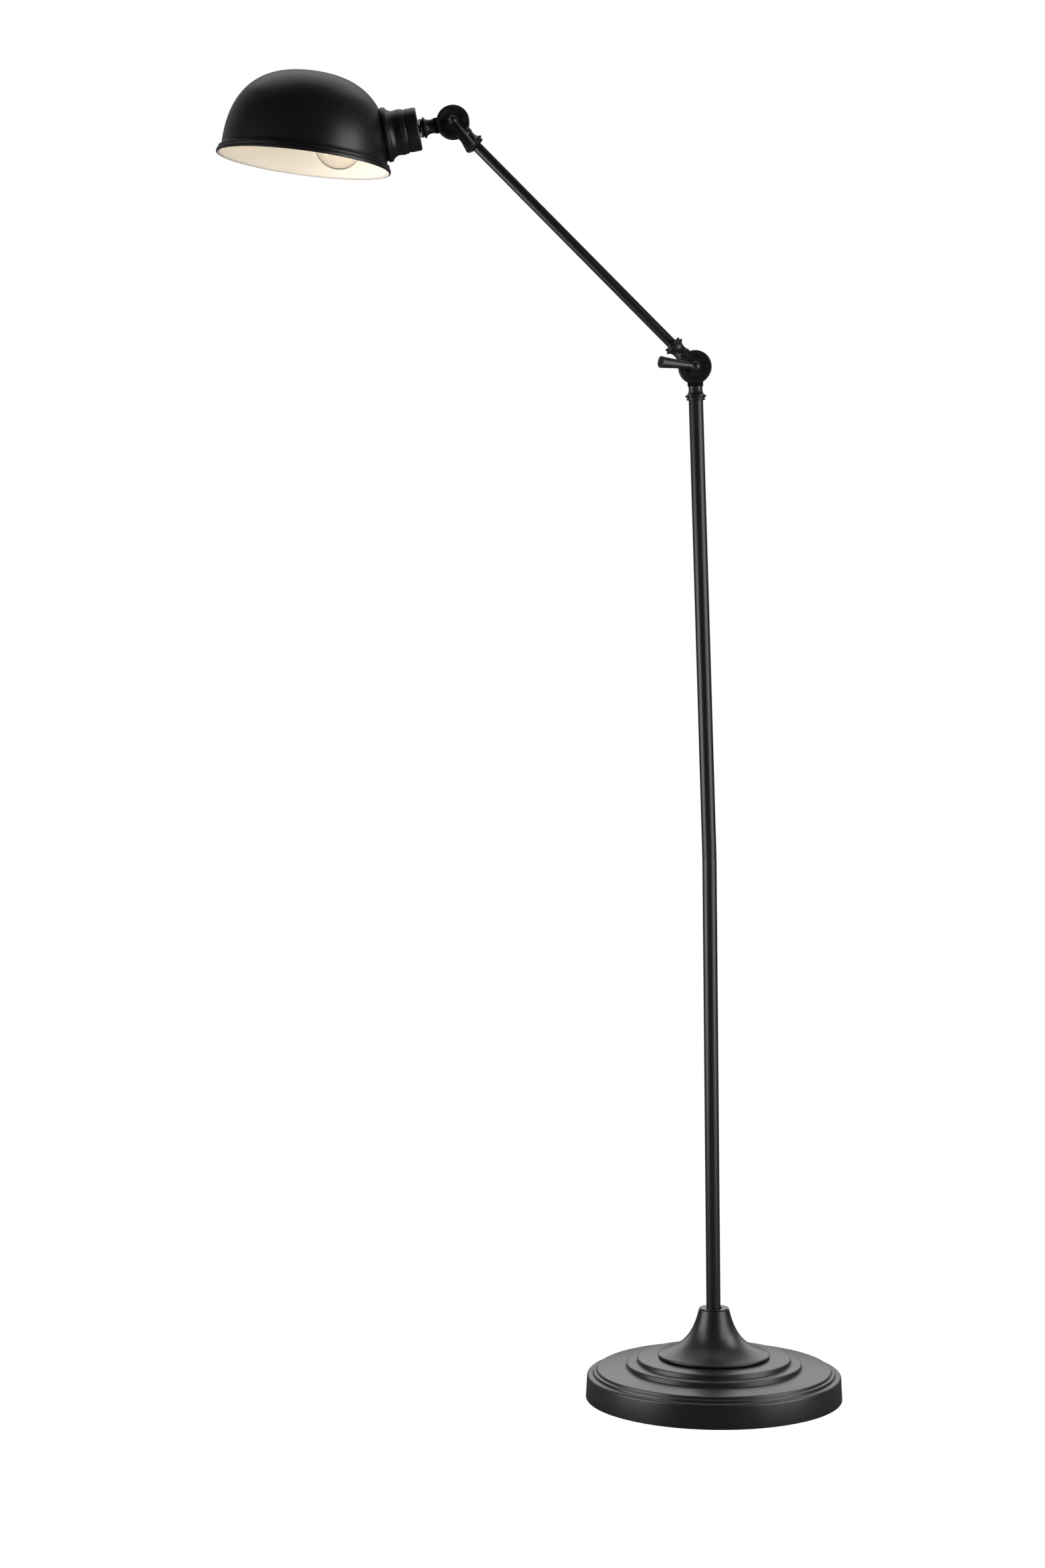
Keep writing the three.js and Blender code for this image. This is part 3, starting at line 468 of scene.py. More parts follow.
FINISHES = {}


def finish_of(slot):
    if slot not in FINISHES:
        FINISHES[slot] = FINISH_MAKERS[slot]()
    return FINISHES[slot]


# ---- Mesh helpers ----


def rounded(points, steps=6):
    """A polyline of (radius, height, rounding) in millimetres with its corners turned into arcs."""
    outline = []
    for i, point in enumerate(points):
        here = Vector(point[:2])
        rounding = point[2] if len(point) > 2 else 0
        if rounding == 0 or i in (0, len(points) - 1):
            outline.append(tuple(here))
            continue
        before = Vector(points[i - 1][:2]) - here
        after = Vector(points[i + 1][:2]) - here
        half = before.angle(after) / 2
        cut = min(rounding / math.tan(half), 0.49 * before.length, 0.49 * after.length)
        start = here + before.normalized() * cut
        end = here + after.normalized() * cut
        centre = here + (before.normalized() + after.normalized()).normalized() * (cut / math.cos(half))
        spread = (start - centre).angle_signed(end - centre)
        for k in range(steps + 1):
            swing = -spread * k / steps
            arm = start - centre
            turned_arm = Vector((
                arm.x * math.cos(swing) - arm.y * math.sin(swing),
                arm.x * math.sin(swing) + arm.y * math.cos(swing),
            ))
            outline.append(tuple(centre + turned_arm))
    return outline


def rounded_loop(ring):
    """As rounded, for a closed outline: it starts and ends halfway along its last side."""
    start, end = ring[-1], ring[0]
    half = ((start[0] + end[0]) / 2, (start[1] + end[1]) / 2)
    return rounded([half, *ring, half])[:-1]


def spin(mesh, outline, around, closed):
    """Adds an outline turned about Z to a bmesh, in metres. Points on the axis become poles."""
    rings = []
    for radius, height in outline:
        if radius < 1e-6:
            rings.append([mesh.verts.new((0, 0, height * MM))])
            continue
        rings.append([
            mesh.verts.new((
                radius * MM * math.cos(2 * math.pi * k / around),
                radius * MM * math.sin(2 * math.pi * k / around),
                height * MM,
            ))
            for k in range(around)
        ])
    pairs = list(zip(rings, rings[1:] + rings[:1])) if closed else list(zip(rings, rings[1:]))
    for low, high in pairs:
        for k in range(around):
            below = [low[k % len(low)], low[(k + 1) % len(low)]]
            above = [high[(k + 1) % len(high)], high[k % len(high)]]
            face = list(dict.fromkeys(below + above))
            if len(face) > 2:
                mesh.faces.new(face)


def smoothed(mesh):
    """Smooth faces, sharp edges where the surface really turns."""
    for face in mesh.faces:
        face.smooth = True
    for edge in mesh.edges:
        if len(edge.link_faces) == 2:
            edge.smooth = edge.calc_face_angle(0) < SHARP


def to_object(mesh, name):
    """A finished bmesh as an object at the origin, normals outward."""
    bmesh.ops.remove_doubles(mesh, verts=mesh.verts, dist=1e-7)
    bmesh.ops.recalc_face_normals(mesh, faces=mesh.faces)
    smoothed(mesh)
    data = bpy.data.meshes.new(name)
    mesh.to_mesh(data)
    mesh.free()
    thing = bpy.data.objects.new(name, data)
    bpy.context.scene.collection.objects.link(thing)
    return thing


def turned(name, outline, place=Matrix(), around=96):
    """A turned piece. The outline starts and ends on the axis, or is closed here."""
    mesh = bmesh.new()
    spin(mesh, outline, around, closed=outline[0][0] > 1e-6 or outline[-1][0] > 1e-6)
    thing = to_object(mesh, name)
    thing.data.transform(place)
    return thing


def plain_tube(name, bore, radius, start, end, place=Matrix(), rounding=0.25, around=96):
    ring = [(bore, start), (radius, start), (radius, end), (bore, end)]
    outline = rounded_loop([(*corner, rounding) for corner in ring])
    return turned(name, outline, place, around)


def evaluated(thing):
    """The object's mesh with its modifiers applied and removed."""
    bpy.context.view_layer.update()
    graph = bpy.context.evaluated_depsgraph_get()
    baked = bpy.data.meshes.new_from_object(thing.evaluated_get(graph))
    thing.modifiers.clear()
    thing.data = baked
    return thing


def combined(thing, other, operation):
    """A boolean join or cut, after which the other object is gone."""
    boolean = thing.modifiers.new(operation, "BOOLEAN")
    boolean.operation = operation
    boolean.solver = "EXACT"
    boolean.object = other
    evaluated(thing)
    bpy.data.objects.remove(other)
    mesh = bmesh.new()
    mesh.from_mesh(thing.data)
    bmesh.ops.remove_doubles(mesh, verts=mesh.verts, dist=1e-6)
    bmesh.ops.dissolve_degenerate(mesh, edges=mesh.edges, dist=1e-6)
    smoothed(mesh)
    mesh.to_mesh(thing.data)
    mesh.free()
    return thing


def finish_piece(thing, slot, body, *nodes):
    """Gives a piece its finish, its body and the nodes it stands for."""
    thing.data.materials.clear()
    thing.data.materials.append(finish_of(slot))
    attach(thing, body)
    if nodes:
        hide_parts(*nodes)
    return thing


def with_ends(thing, around, *outlines):
    """Turned ends spun onto a sleeve from a tree, sewn to it, normals outward."""
    mesh = bmesh.new()
    mesh.from_mesh(thing.data)
    for outline in outlines:
        spin(mesh, outline, around, closed=False)
    bmesh.ops.remove_doubles(mesh, verts=mesh.verts, dist=2e-6)
    bmesh.ops.recalc_face_normals(mesh, faces=mesh.faces)
    lowest = min(mesh.faces, key=lambda face: face.calc_center_median().z)
    if lowest.normal.z > 0:
        bmesh.ops.reverse_faces(mesh, faces=mesh.faces)
    smoothed(mesh)
    mesh.to_mesh(thing.data)
    mesh.free()
    return thing


FACE_FRONT = Matrix.Rotation(math.radians(90), 4, "X")
FACE_REAR = Matrix.Rotation(math.radians(-90), 4, "X")


# ---- Geometry Nodes ----


def node_tree(name, inputs):
    """An empty geometry tree with named float inputs; returns the tree and a Wire for each."""
    tree = bpy.data.node_groups.new(name, "GeometryNodeTree")
    for label, value in inputs.items():
        socket = tree.interface.new_socket(label, in_out="INPUT", socket_type="NodeSocketFloat")
        socket.default_value = value
    tree.interface.new_socket("Geometry", in_out="OUTPUT", socket_type="NodeSocketGeometry")
    entry = tree.nodes.new("NodeGroupInput")
    return tree, {label: Wire(tree, entry.outputs[label]) for label in inputs}


def close_tree(tree, geometry, material):
    """Ends a tree in realized geometry with its material."""
    real = add_node(tree, "GeometryNodeRealizeInstances", None, {"Geometry": geometry})
    done = add_node(tree, "GeometryNodeSetMaterial", None, {"Geometry": real, "Material": material})
    exit_node = tree.nodes.new("NodeGroupOutput")
    connect(tree, done, exit_node.inputs["Geometry"])


def from_tree(name, tree, values):
    """A plain mesh object made by a geometry tree with these input values."""
    thing = bpy.data.objects.new(name, bpy.data.meshes.new(name))
    bpy.context.scene.collection.objects.link(thing)
    modifier = thing.modifiers.new("shape", "NODES")
    modifier.node_group = tree
    for item in tree.interface.items_tree:
        if item.item_type == "SOCKET" and item.in_out == "INPUT" and item.name in values:
            modifier[item.identifier] = values[item.name]
    return evaluated(thing)


def grid_of(tree, across, up):
    """A unit grid with its two running shares, from 0 to 1."""
    sockets = {"Size X": 1.0, "Size Y": 1.0, "Vertices X": across, "Vertices Y": up}
    grid = add_node(tree, "GeometryNodeMeshGrid", None, sockets)
    spot = add_node(tree, "GeometryNodeInputPosition")
    parts = tree.nodes.new("ShaderNodeSeparateXYZ")
    connect(tree, spot, parts.inputs[0])
    return grid, Wire(tree, parts.outputs[0]) + 0.5, Wire(tree, parts.outputs[1]) + 0.5


def placed(tree, geometry, x, y, z):
    spot = add_node(tree, "ShaderNodeCombineXYZ", None, {"X": x, "Y": y, "Z": z})
    return add_node(tree, "GeometryNodeSetPosition", None, {"Geometry": geometry, "Position": spot})


def sewn(tree, geometry):
    return add_node(tree, "GeometryNodeMergeByDistance", None, {"Geometry": geometry, "Distance": 1e-6})


def flare_tree(material):
    """A trumpet: the height is a constant over the radius beyond a core, so the wall is a hyperbola."""
    radii = {"Foot Radius": 0.06, "Top Radius": 0.017, "Core": 0.002}
    heights = {"Foot Height": 0.05, "Top Height": 0.1}
    tree, size = node_tree("trumpet_flare", {**radii, **heights})
    grid, turn, rise = grid_of(tree, 129, settings().base.bell_steps)
    foot = size["Foot Radius"] - size["Core"]
    top = size["Top Radius"] - size["Core"]
    line = (foot * size["Foot Height"] - top * size["Top Height"]) / (foot - top)
    reach = foot * (top / foot) ** rise
    radius = size["Core"] + reach
    height = line + top * (size["Top Height"] - line) / reach
    angle = turn * (2 * math.pi)
    shape = placed(tree, grid, radius * angle.cosine(), radius * angle.sine(), height)
    close_tree(tree, sewn(tree, shape), material)
    return tree


def thread_tree(material):
    """A rolled round thread: a sleeve whose radius swells along a helix and fades at both ends."""
    inputs = {"Radius": 0.013, "Depth": 0.0007, "Start": 0.0, "Length": 0.018, "Turns": 4.5}
    tree, size = node_tree("rolled_thread", inputs)
    grid, turn, rise = grid_of(tree, 97, 90)
    wave = ((rise * size["Turns"] - turn) * (2 * math.pi)).cosine()
    fade = (rise * 12).clamped() * ((1 - rise) * 12).clamped()
    radius = size["Radius"] - size["Depth"] * (0.5 - 0.5 * wave) * fade
    angle = turn * (2 * math.pi)
    height = size["Start"] + rise * size["Length"]
    shape = placed(tree, grid, radius * angle.cosine(), radius * angle.sine(), height)
    close_tree(tree, sewn(tree, shape), material)
    return tree


def coil_tree(material):
    """A fine wire wound along an arch."""
    arch_sizes = {"Half Width": 0.009, "Rise": 0.016, "Base": 0.0}
    coil_sizes = {"Coil": 0.0005, "Turns": 46.0, "Wire": 0.00011}
    tree, size = node_tree("coiled_filament", {**arch_sizes, **coil_sizes})
    points = 900
    line = add_node(tree, "GeometryNodeMeshLine", None, {"Count": points})
    index = add_node(tree, "GeometryNodeInputIndex")
    share = index / (points - 1.0)
    sweep = share * math.pi
    spin_angle = share * size["Turns"] * (2 * math.pi)
    out = size["Half Width"] + size["Coil"] * spin_angle.cosine()
    rise = size["Rise"] + size["Coil"] * spin_angle.cosine()
    arch = placed(
        tree,
        line,
        size["Coil"] * spin_angle.sine(),
        0.0 - out * sweep.cosine(),
        size["Base"] + rise * sweep.sine(),
    )
    path = add_node(tree, "GeometryNodeMeshToCurve", None, {"Mesh": arch})
    round_wire = {"Resolution": 6, "Radius": size["Wire"]}
    ring = add_node(tree, "GeometryNodeCurvePrimitiveCircle", None, round_wire)
    sweeping = {"Curve": path, "Profile Curve": ring, "Fill Caps": True}
    wire = add_node(tree, "GeometryNodeCurveToMesh", None, sweeping)
    close_tree(tree, wire, material)
    return tree


# ---- Base ----


def base_outline():
    """The spun cover from its inner bottom edge, over the skirt, bead, shelf and steps to the plate."""
    sizes = settings().base
    skirt = sizes.skirt_height / MM
    corner = sizes.corner / MM
    shelf_r = BASE_R - 13
    inner_r = BELL_R + sizes.bell_tread / MM
    outer_r = inner_r + sizes.step_width / MM
    shelf = COVER_TOP - SHELF_DROP
    tread = COVER_TOP - TREAD_DROP
    return rounded([
        (BASE_R - 1.6, 0.8),
        (BASE_R, 0.8, 0.5),
        (BASE_R - 1.5, skirt, corner),
        (shelf_r + 5.6, skirt + 0.2, 0.6),
        (shelf_r + 4.9, skirt - 0.3, 0.5),
        (shelf_r + 4.3, skirt + 2.9, 1.0),
        (shelf_r + 1.5, skirt + 3.3, 0.9),
        (shelf_r + 0.6, skirt + 2.6, 0.5),
        (shelf_r, shelf, 1.5),
        (outer_r + 1.3, shelf + 2.5, 1.0),
        (outer_r + 0.5, shelf + 2.0, 0.4),
        (outer_r, tread - 0.1, 1.9),
        (inner_r + 1.7, tread + 0.7, 0.7),
        (inner_r + 0.6, tread + 0.1, 0.4),
        (inner_r - 0.2, COVER_TOP - 1.5, 2.0),
        (BELL_R + 1.5, COVER_TOP - 0.6, 0.8),
        (BELL_R - 5, COVER_TOP),
        (12, COVER_TOP),
        (12, COVER_TOP - 1.6),
        (BELL_R, COVER_TOP - 1.6),
        (inner_r - 3, COVER_TOP - 2.8),
        (inner_r - 2.2, tread - 1),
        (outer_r - 3, tread - 2),
        (outer_r - 2, shelf + 0.6),
        (shelf_r - 2.5, shelf - 1.8),
        (shelf_r - 1.2, skirt - 1.6),
        (BASE_R - 6, skirt - 2),
        (BASE_R - 3.4, skirt - 5),
    ])


def make_cover():
    cover = turned("base_cover_fine", base_outline(), around=192)
    grommet = mean(corners("cord_grommet"))
    inlet_r, start, end = 4.9, BASE_R - 12, BASE_R + 5
    bore = [(0, start), (inlet_r, start), (inlet_r, end), (0, end)]
    drill = turned("drill", bore, Matrix.Translation((0, 0, grommet.z)) @ FACE_REAR, 48)
    return combined(cover, drill, "DIFFERENCE")


def make_bell():
    """The flare from its tree, with a rolled foot and a flat top turned beneath and above it."""
    sizes = settings().base
    seat = COVER_TOP + TOUCH
    foot = BELL_R - 1.6
    flare_foot = seat + 3.4
    top_r = sizes.bell_top / MM
    values = {
        "Foot Radius": foot * MM,
        "Top Radius": sizes.bell_top,
        "Foot Height": flare_foot * MM,
        "Top Height": (BELL_TOP - 0.6) * MM,
        "Core": sizes.bell_core,
    }
    foot_roll = rounded([
        (foot, flare_foot),
        (BELL_R, flare_foot - 0.7, 1.1),
        (BELL_R, seat + 0.2, 1.2),
        (BELL_R - 3.6, seat + 0.1, 0.4),
        (BELL_R - 5, seat + 1.0),
        (BELL_R - 12, seat + 4.2),
    ])
    head_roll = rounded([
        (top_r, BELL_TOP - 0.6),
        (top_r - 0.1, BELL_TOP, 0.5),
        (11, BELL_TOP),
        (11, BELL_TOP - 3),
    ])
    flare = from_tree("base_bell_fine", flare_tree(finish_of("black_paint")), values)
    bell = with_ends(flare, 128, foot_roll, head_roll)
    wall = bell.modifiers.new("sheet", "SOLIDIFY")
    wall.thickness = 0.0011
    wall.offset = -1
    return evaluated(bell)


class LAMP_OT_base(bpy.types.Operator):
    """Make the stepped base, its bell, washer, felt and cord inlet"""

    bl_idname = "floor_lamp.base"
    bl_label = "Base"

    def execute(self, context):
        finish_piece(make_cover(), "black_paint", "stand", "base_cover")
        finish_piece(make_bell(), "black_paint", "stand", "base_bell")
        low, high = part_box("bell_washer")
        bore = POLE_R + 0.9
        washer = plain_tube("bell_washer_fine", bore, high.x / MM, low.z / MM, high.z / MM, rounding=0.35)
        finish_piece(washer, "black_paint", "stand", "bell_washer")
        pad_r = size_mm("base_pad", 0) / 2
        pad_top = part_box("base_pad")[1].z / MM
        pad_outline = rounded([(0, 0), (pad_r, 0, 0.6), (pad_r, pad_top, 0.6), (0, pad_top)])
        finish_piece(turned("base_felt", pad_outline, around=160), "felt", "stand", "base_pad")
        finish_piece(self.grommet(), "rubber", "stand", "cord_grommet")
        return {"FINISHED"}

    def grommet(self):
        low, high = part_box("cord_grommet")
        height = (low.z + high.z) / 2
        rim = (high.z - low.z) / 2 / MM
        inner, outer = low.y / MM, high.y / MM
        outline = rounded_loop([
            (3.6, inner, 0.6),
            (rim, inner, 0.7),
            (rim, inner + 1.7, 0.4),
            (rim - 1.7, inner + 1.7, 0.2),
            (rim - 1.7, outer - 1.7, 0.2),
            (rim, outer - 1.7, 0.4),
            (rim - 0.3, outer, 0.9),
            (3.6, outer, 0.8),
        ])
        return turned("cord_grommet_fine", outline, Matrix.Translation((0, 0, height)) @ FACE_REAR, 64)


# ---- Pole and arm ----


class LAMP_OT_tubes(bpy.types.Operator):
    """Make the two pole tubes with their seam, and the arm tube"""

    bl_idname = "floor_lamp.tubes"
    bl_label = "Pole and Arm Tubes"

    def execute(self, context):
        lower = (SEAM - POLE_FOOT).length / MM
        pole_end = (far_end("pole_upper", SEAM) - SEAM).length / MM
        arm_start = (far_end("arm_tube", HEAD) - ELBOW).length / MM
        arm_end = (far_end("arm_tube", ELBOW) - ELBOW).length / MM
        pole_wall, arm_wall = 1.2, 1
        pieces = (
            ("pole_lower", POLE_R, pole_wall, 0.5, lower - 0.02, POLE_FRAME, "stand"),
            ("pole_upper", POLE_R, pole_wall, 0.25, pole_end, UPPER_FRAME, "stand"),
            ("arm_tube", ARM_R, arm_wall, arm_start, arm_end, ARM_FRAME, "arm"),
        )
        for node, radius, wall, start, end, place, body in pieces:
            tube = plain_tube(f"{node}_fine", radius - wall, radius, start, end, place, rounding=0.3)
            finish_piece(tube, "black_paint", body, node)
        return {"FINISHED"}


# ---- Knuckles ----


def disc_outline():
    """A half disc with a soft-edged dish in its face."""
    sizes = settings().joints
    radius, out = sizes.disc / MM, sizes.disc_out / MM
    dish, floor = sizes.dish / MM, out - sizes.dish_depth / MM
    return rounded([
        (SCREW_BORE, KNUCKLE_GAP),
        (radius, KNUCKLE_GAP, 0.5),
        (radius, out, 1.1),
        (dish + 0.2, out, 1.6),
        (dish - 2.8, floor, 2.6),
        (SCREW_BORE, floor),
    ])


def collar_outline():
    """From the band beside the disc, through the waist, to the double lip where the tube enters."""
    return rounded([
        (0, KNUCKLE_WAIST),
        (9, KNUCKLE_WAIST),
        (9, 20.9, 0.7),
        (8.0, 22.2, 1.2),
        (7.8, 26.2, 6.0),
        (8.9, 30.4, 5.0),
        (12.0, 32.3, 0.5),
        (12.0, 33.5, 0.6),
        (9.9, 34.5, 0.3),
        (10.1, 35.3, 0.3),
        (10.6, 35.9, 0.4),
        (10.4, 37.3, 0.5),
        (8.7, 37.3, 0.2),
        (8.7, 31.4),
        (0, 31.4),
    ])


def knuckle(name, place):
    """A half disc on the -Y side with its collar along +Z, cut back round the mating half disc."""
    sweep = settings().joints.disc / MM + 3.9
    collar = turned(name, collar_outline(), around=96)
    near, far = -KNUCKLE_GAP, 26
    cutter = turned("cutter", [(0, near), (sweep, near), (sweep, far), (0, far)], FACE_REAR, 128)
    collar = combined(collar, cutter, "DIFFERENCE")
    disc = turned("disc", disc_outline(), FACE_FRONT, 128)
    collar = combined(collar, disc, "UNION")
    collar.data.transform(place)
    return collar


class LAMP_OT_knuckles(bpy.types.Operator):
    """Make the four half discs with their turned collars"""

    bl_idname = "floor_lamp.knuckles"
    bl_label = "Knuckles"

    def execute(self, context):
        half_turn = math.radians(180)
        down = Matrix.Rotation(half_turn, 4, "X")
        back = Matrix.Rotation(half_turn, 4, "Y")
        rear = Matrix.Rotation(half_turn, 4, "Z")
        halves = (
            ("elbow_pole_knuckle", ELBOW_FRAME @ down, "stand"),
            ("elbow_arm_knuckle", ARM_FRAME, "arm"),
            ("head_arm_knuckle", ARM_END_FRAME @ back, "arm"),
            ("head_neck_knuckle", NECK_FRAME @ rear, "head"),
        )
        for node, place, body in halves:
            finish_piece(knuckle(f"{node}_fine", place), "black_paint", body, node)
        return {"FINISHED"}


# ---- Clamping screws and levers ----


def lever_handle(name, place):
    """A handle that widens to a slightly dished end, scooped where it meets the ball."""
    sizes = settings().joints
    length, end, hub = sizes.lever / MM, sizes.lever_end / MM, sizes.hub / MM
    outline = rounded([
        (0, hub - 1.6),
        (3.2, hub - 1.6),
        (3.5, hub - 0.4, 0.3),
        (3.75, hub + 1.2, 2.0),
        (end, length, 0.7),
        (end - 1.2, length, 0.5),
        (end - 2, length - 0.6, 0.6),
        (0, length - 0.6),
    ])
    lean = Matrix.Translation((0, -sizes.hub_out, 0)) @ Matrix.Rotation(sizes.lever_tilt, 4, "X")
    return turned(name, outline, place @ lean, 80)


def lever_hub(name, place):
    """The ball on its short boss."""
    sizes = settings().joints
    hub, out = sizes.hub / MM, sizes.hub_out / MM
    foot = 7.2
    boss = 4.6
    join = math.asin(boss / hub)
    turns = [join + (math.pi - join) * k / 24 for k in range(25)]
    ball = [(hub * math.sin(t), out - hub * math.cos(t)) for t in turns]
    ball[-1] = (0, out + hub)
    outline = [(0, foot), (boss - 0.4, foot), (boss, foot + 0.4), *ball]
    return turned(name, outline, place @ FACE_FRONT, 80)


def hex_nut(name, place, flats, bore, start, end):
    """A bored hexagon between two heights, its corners bevelled at both ends."""
    mesh = bmesh.new()
    corner = flats / math.sqrt(3)
    outline = [(bore, start), (corner, start), (corner, end), (bore, end)]
    spin(mesh, outline, 6, closed=True)
    nut = to_object(mesh, name)
    domed = rounded([
        (0, start),
        (corner - 0.5, start),
        (corner + 0.4, start + 0.7),
        (corner + 0.4, end - 0.7),
        (corner - 0.5, end),
        (0, end),
    ])
    nut = combined(nut, turned("bevel", domed, around=64), "INTERSECT")
    bore_cut = turned("bore", [(0, start - 1), (bore, start - 1), (bore, end + 1), (0, end + 1)], around=48)
    nut = combined(nut, bore_cut, "DIFFERENCE")
    nut.data.transform(place)
    return nut


class LAMP_OT_clamps(bpy.types.Operator):
    """Make the levers, screws, nuts and washers of both clamps"""

    bl_idname = "floor_lamp.clamps"
    bl_label = "Clamps"

    def execute(self, context):
        clamps = (("elbow", ELBOW, ELBOW_FRAME, "stand"), ("head", HEAD, NECK_FRAME, "head"))
        for joint, hinge, place, body in clamps:
            self.lever(joint, lever_frame(joint, hinge))
            self.fittings(joint, place, body)
        return {"FINISHED"}

    def lever(self, joint, place):
        body = f"{joint}_lever"
        handle = lever_handle(f"{joint}_lever_fine", place)
        finish_piece(handle, "black_paint", body, f"{joint}_lever")
        finish_piece(lever_hub(f"{joint}_knob_fine", place), "black_paint", body, f"{joint}_knob")
        low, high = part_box(f"{joint}_screw")
        front, rear = -low.y / MM, high.y / MM
        screw = turned(
            f"{joint}_screw_fine",
            rounded([(0, -rear), (3, -rear, 0.6), (3, front, 0.3), (0, front)]),
            place @ FACE_FRONT,
            48,
        )
        finish_piece(screw, "zinc_steel", body, f"{joint}_screw")
        spring = self.washer(f"{joint}_spring_washer", place @ FACE_FRONT, 5.2, -1)
        finish_piece(spring, "zinc_steel", body, f"{joint}_spring_washer")

    def fittings(self, joint, place, body):
        rear = place @ FACE_REAR
        washer = self.washer(f"{joint}_nut_washer", rear, 7.5, 1)
        finish_piece(washer, "zinc_steel", body, f"{joint}_nut_washer")
        fibre = self.washer(f"{joint}_friction_washer", rear, 16, 1)
        finish_piece(fibre, "fibre", body, f"{joint}_friction_washer")
        low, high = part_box(f"{joint}_nut")
        nut = hex_nut(f"{joint}_nut_fine", rear, 10, 3.25, low.y / MM, high.y / MM)
        finish_piece(nut, "zinc_steel", body, f"{joint}_nut")

    def washer(self, node, place, radius, side):
        low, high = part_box(node)
        start, end = sorted((side * low.y / MM, side * high.y / MM))
        return plain_tube(f"{node}_fine", SCREW_BORE, radius, start, end, place, rounding=0.2, around=64)


# ---- Neck ----


def cup_outline():
    """The spun cup: a filleted end, a plain band, a small step, a bulge, a waist and the flange's bead."""
    start, end = CUP_START, CUP_START + 58
    outer = [
        (NECK_BORE, start),
        (CUP_R, start, 2.2),
        (CUP_R, start + 13.0, 0.3),
        (CUP_R - 0.9, start + 14.0, 0.6),
        (CUP_R + 0.5, start + 15.4, 1.5),
        (CUP_R + 1.4, start + 20.6, 6),
        (CUP_R + 0.5, start + 27.6, 6),
        (CUP_R + 2.6, start + 32.2, 4),
        (CUP_R + 6.2, start + 34.8, 1.4),
        (CUP_R + CUP_LIP, start + 38.2, 1.8),
        (CUP_R + 4.8, start + 40.6, 0.8),
        (CUP_R + 4.6, end),
    ]
    bore = CUP_R - 1.5
    inner = [(CUP_R + 3.2, end), (CUP_R + 3.2, start + 37), (bore, start + 28), (bore, start + 1.5)]
    return rounded([*outer, *inner, (NECK_BORE, start + 1.5)])


class LAMP_OT_neck(bpy.types.Operator):
    """Make the neck's ring and the spun cup that follows the dome"""

    bl_idname = "floor_lamp.neck"
    bl_label = "Neck"

    def execute(self, context):
        ring = plain_tube("neck_ring_fine", NECK_BORE, 10.5, 37.6, 38.9, NECK_FRAME, rounding=0.45)
        finish_piece(ring, "black_paint", "head", "neck_ring")
        cup = turned("socket_cup_fine", cup_outline(), NECK_FRAME, 144)
        trim = turned("trim", dome_solid(0.15), shade_frame(), 192)
        finish_piece(combined(cup, trim, "DIFFERENCE"), "black_paint", "head", "socket_cup")
        return {"FINISHED"}


# ---- Shade ----


def shade_frame():
    """The opening's centre from the widest ring of the rim, its axis from the lean."""
    lean = settings().shade.lean
    points = corners("shade")
    widest = max(abs(point.y) for point in points)
    ring = mean([point for point in points if abs(point.y) > widest - 1e-6])
    axis = Vector((math.sin(lean), 0, math.cos(lean)))
    return leaning_frame(ring - axis * 1.6 * MM, ring + axis)


def dome_curve(shrink, start, steps=64):
    """The superellipse from a height above the opening to the crown, moved in by some millimetres."""
    sizes = settings().shade
    radius, height = sizes.radius / MM - shrink, sizes.height / MM - shrink
    share = 2 / sizes.squareness
    first = math.asin((start / height) ** (1 / share))
    angles = [first + (math.pi / 2 - first) * k / steps for k in range(steps + 1)]
    curve = [(radius * math.cos(t) ** share, height * math.sin(t) ** share) for t in angles[:-1]]
    return [*curve, (0, height)]


def dome_solid(growth):
    """The outline of all the room inside the painted wall, grown by some millimetres."""
    wall = dome_curve(-growth, RIM_TOP)
    return [(0, 1.4), (wall[0][0], 1.4), *wall]


def rim_outline():
    """The rolled bead and the small ridge above it, from the inner edge up to the wall."""
    sizes = settings().shade
    wall = sizes.radius / MM
    return rounded([
        (SHADE_RIM_R - 1.6, 0.1),
        (SHADE_RIM_R, 0, 1.0),
        (SHADE_RIM_R, 4.0, 2.0),
        (wall + 2.6, 4.9, 0.5),
        (wall + 3.3, 5.6, 0.4),
        (wall + 3.0, 7.9, 0.9),
        (wall + 0.6, 8.4, 0.5),
        (wall, RIM_TOP),
    ])


class LAMP_OT_shade(bpy.types.Operator):
    """Make the painted dome with its rolled rim, and the enamel inside it"""

    bl_idname = "floor_lamp.shade"
    bl_label = "Shade"

    def execute(self, context):
        sizes = settings().shade
        sheet = sizes.sheet / MM
        wall = sizes.radius / MM
        half = sheet / 2
        between = list(reversed(dome_curve(half, RIM_TOP)))
        painted_rim = [(wall + 1.6, 2.4), (SHADE_RIM_R - 2.4, 1.1)]
        outside = [*rim_outline(), *dome_curve(0, RIM_TOP)[1:], *between, *painted_rim]
        inner_rim = [(SHADE_RIM_R - 1.7, 0.15), (wall + 0.6, 1.6), (wall - sheet, RIM_TOP - 0.4)]
        outer_rim = [(wall + 1.2, 2.2), (SHADE_RIM_R - 2.6, 0.9)]
        lining = [*inner_rim, *dome_curve(sheet, RIM_TOP), *between, *outer_rim]
        self.drilled("shade_outside", outside, "black_paint")
        self.drilled("shade_enamel", lining, "shade_sheet")
        return {"FINISHED"}

    def drilled(self, name, outline, slot):
        """A bowl with the hole where the lampholder goes through."""
        bowl = turned(name, outline, shade_frame(), 192)
        hole_r, start, end = 20.2, 55, 105
        hole = turned("hole", [(0, start), (hole_r, start), (hole_r, end), (0, end)], NECK_FRAME, 96)
        finish_piece(combined(bowl, hole, "DIFFERENCE"), slot, "head", "shade")


# ---- Lampholder and bulb ----


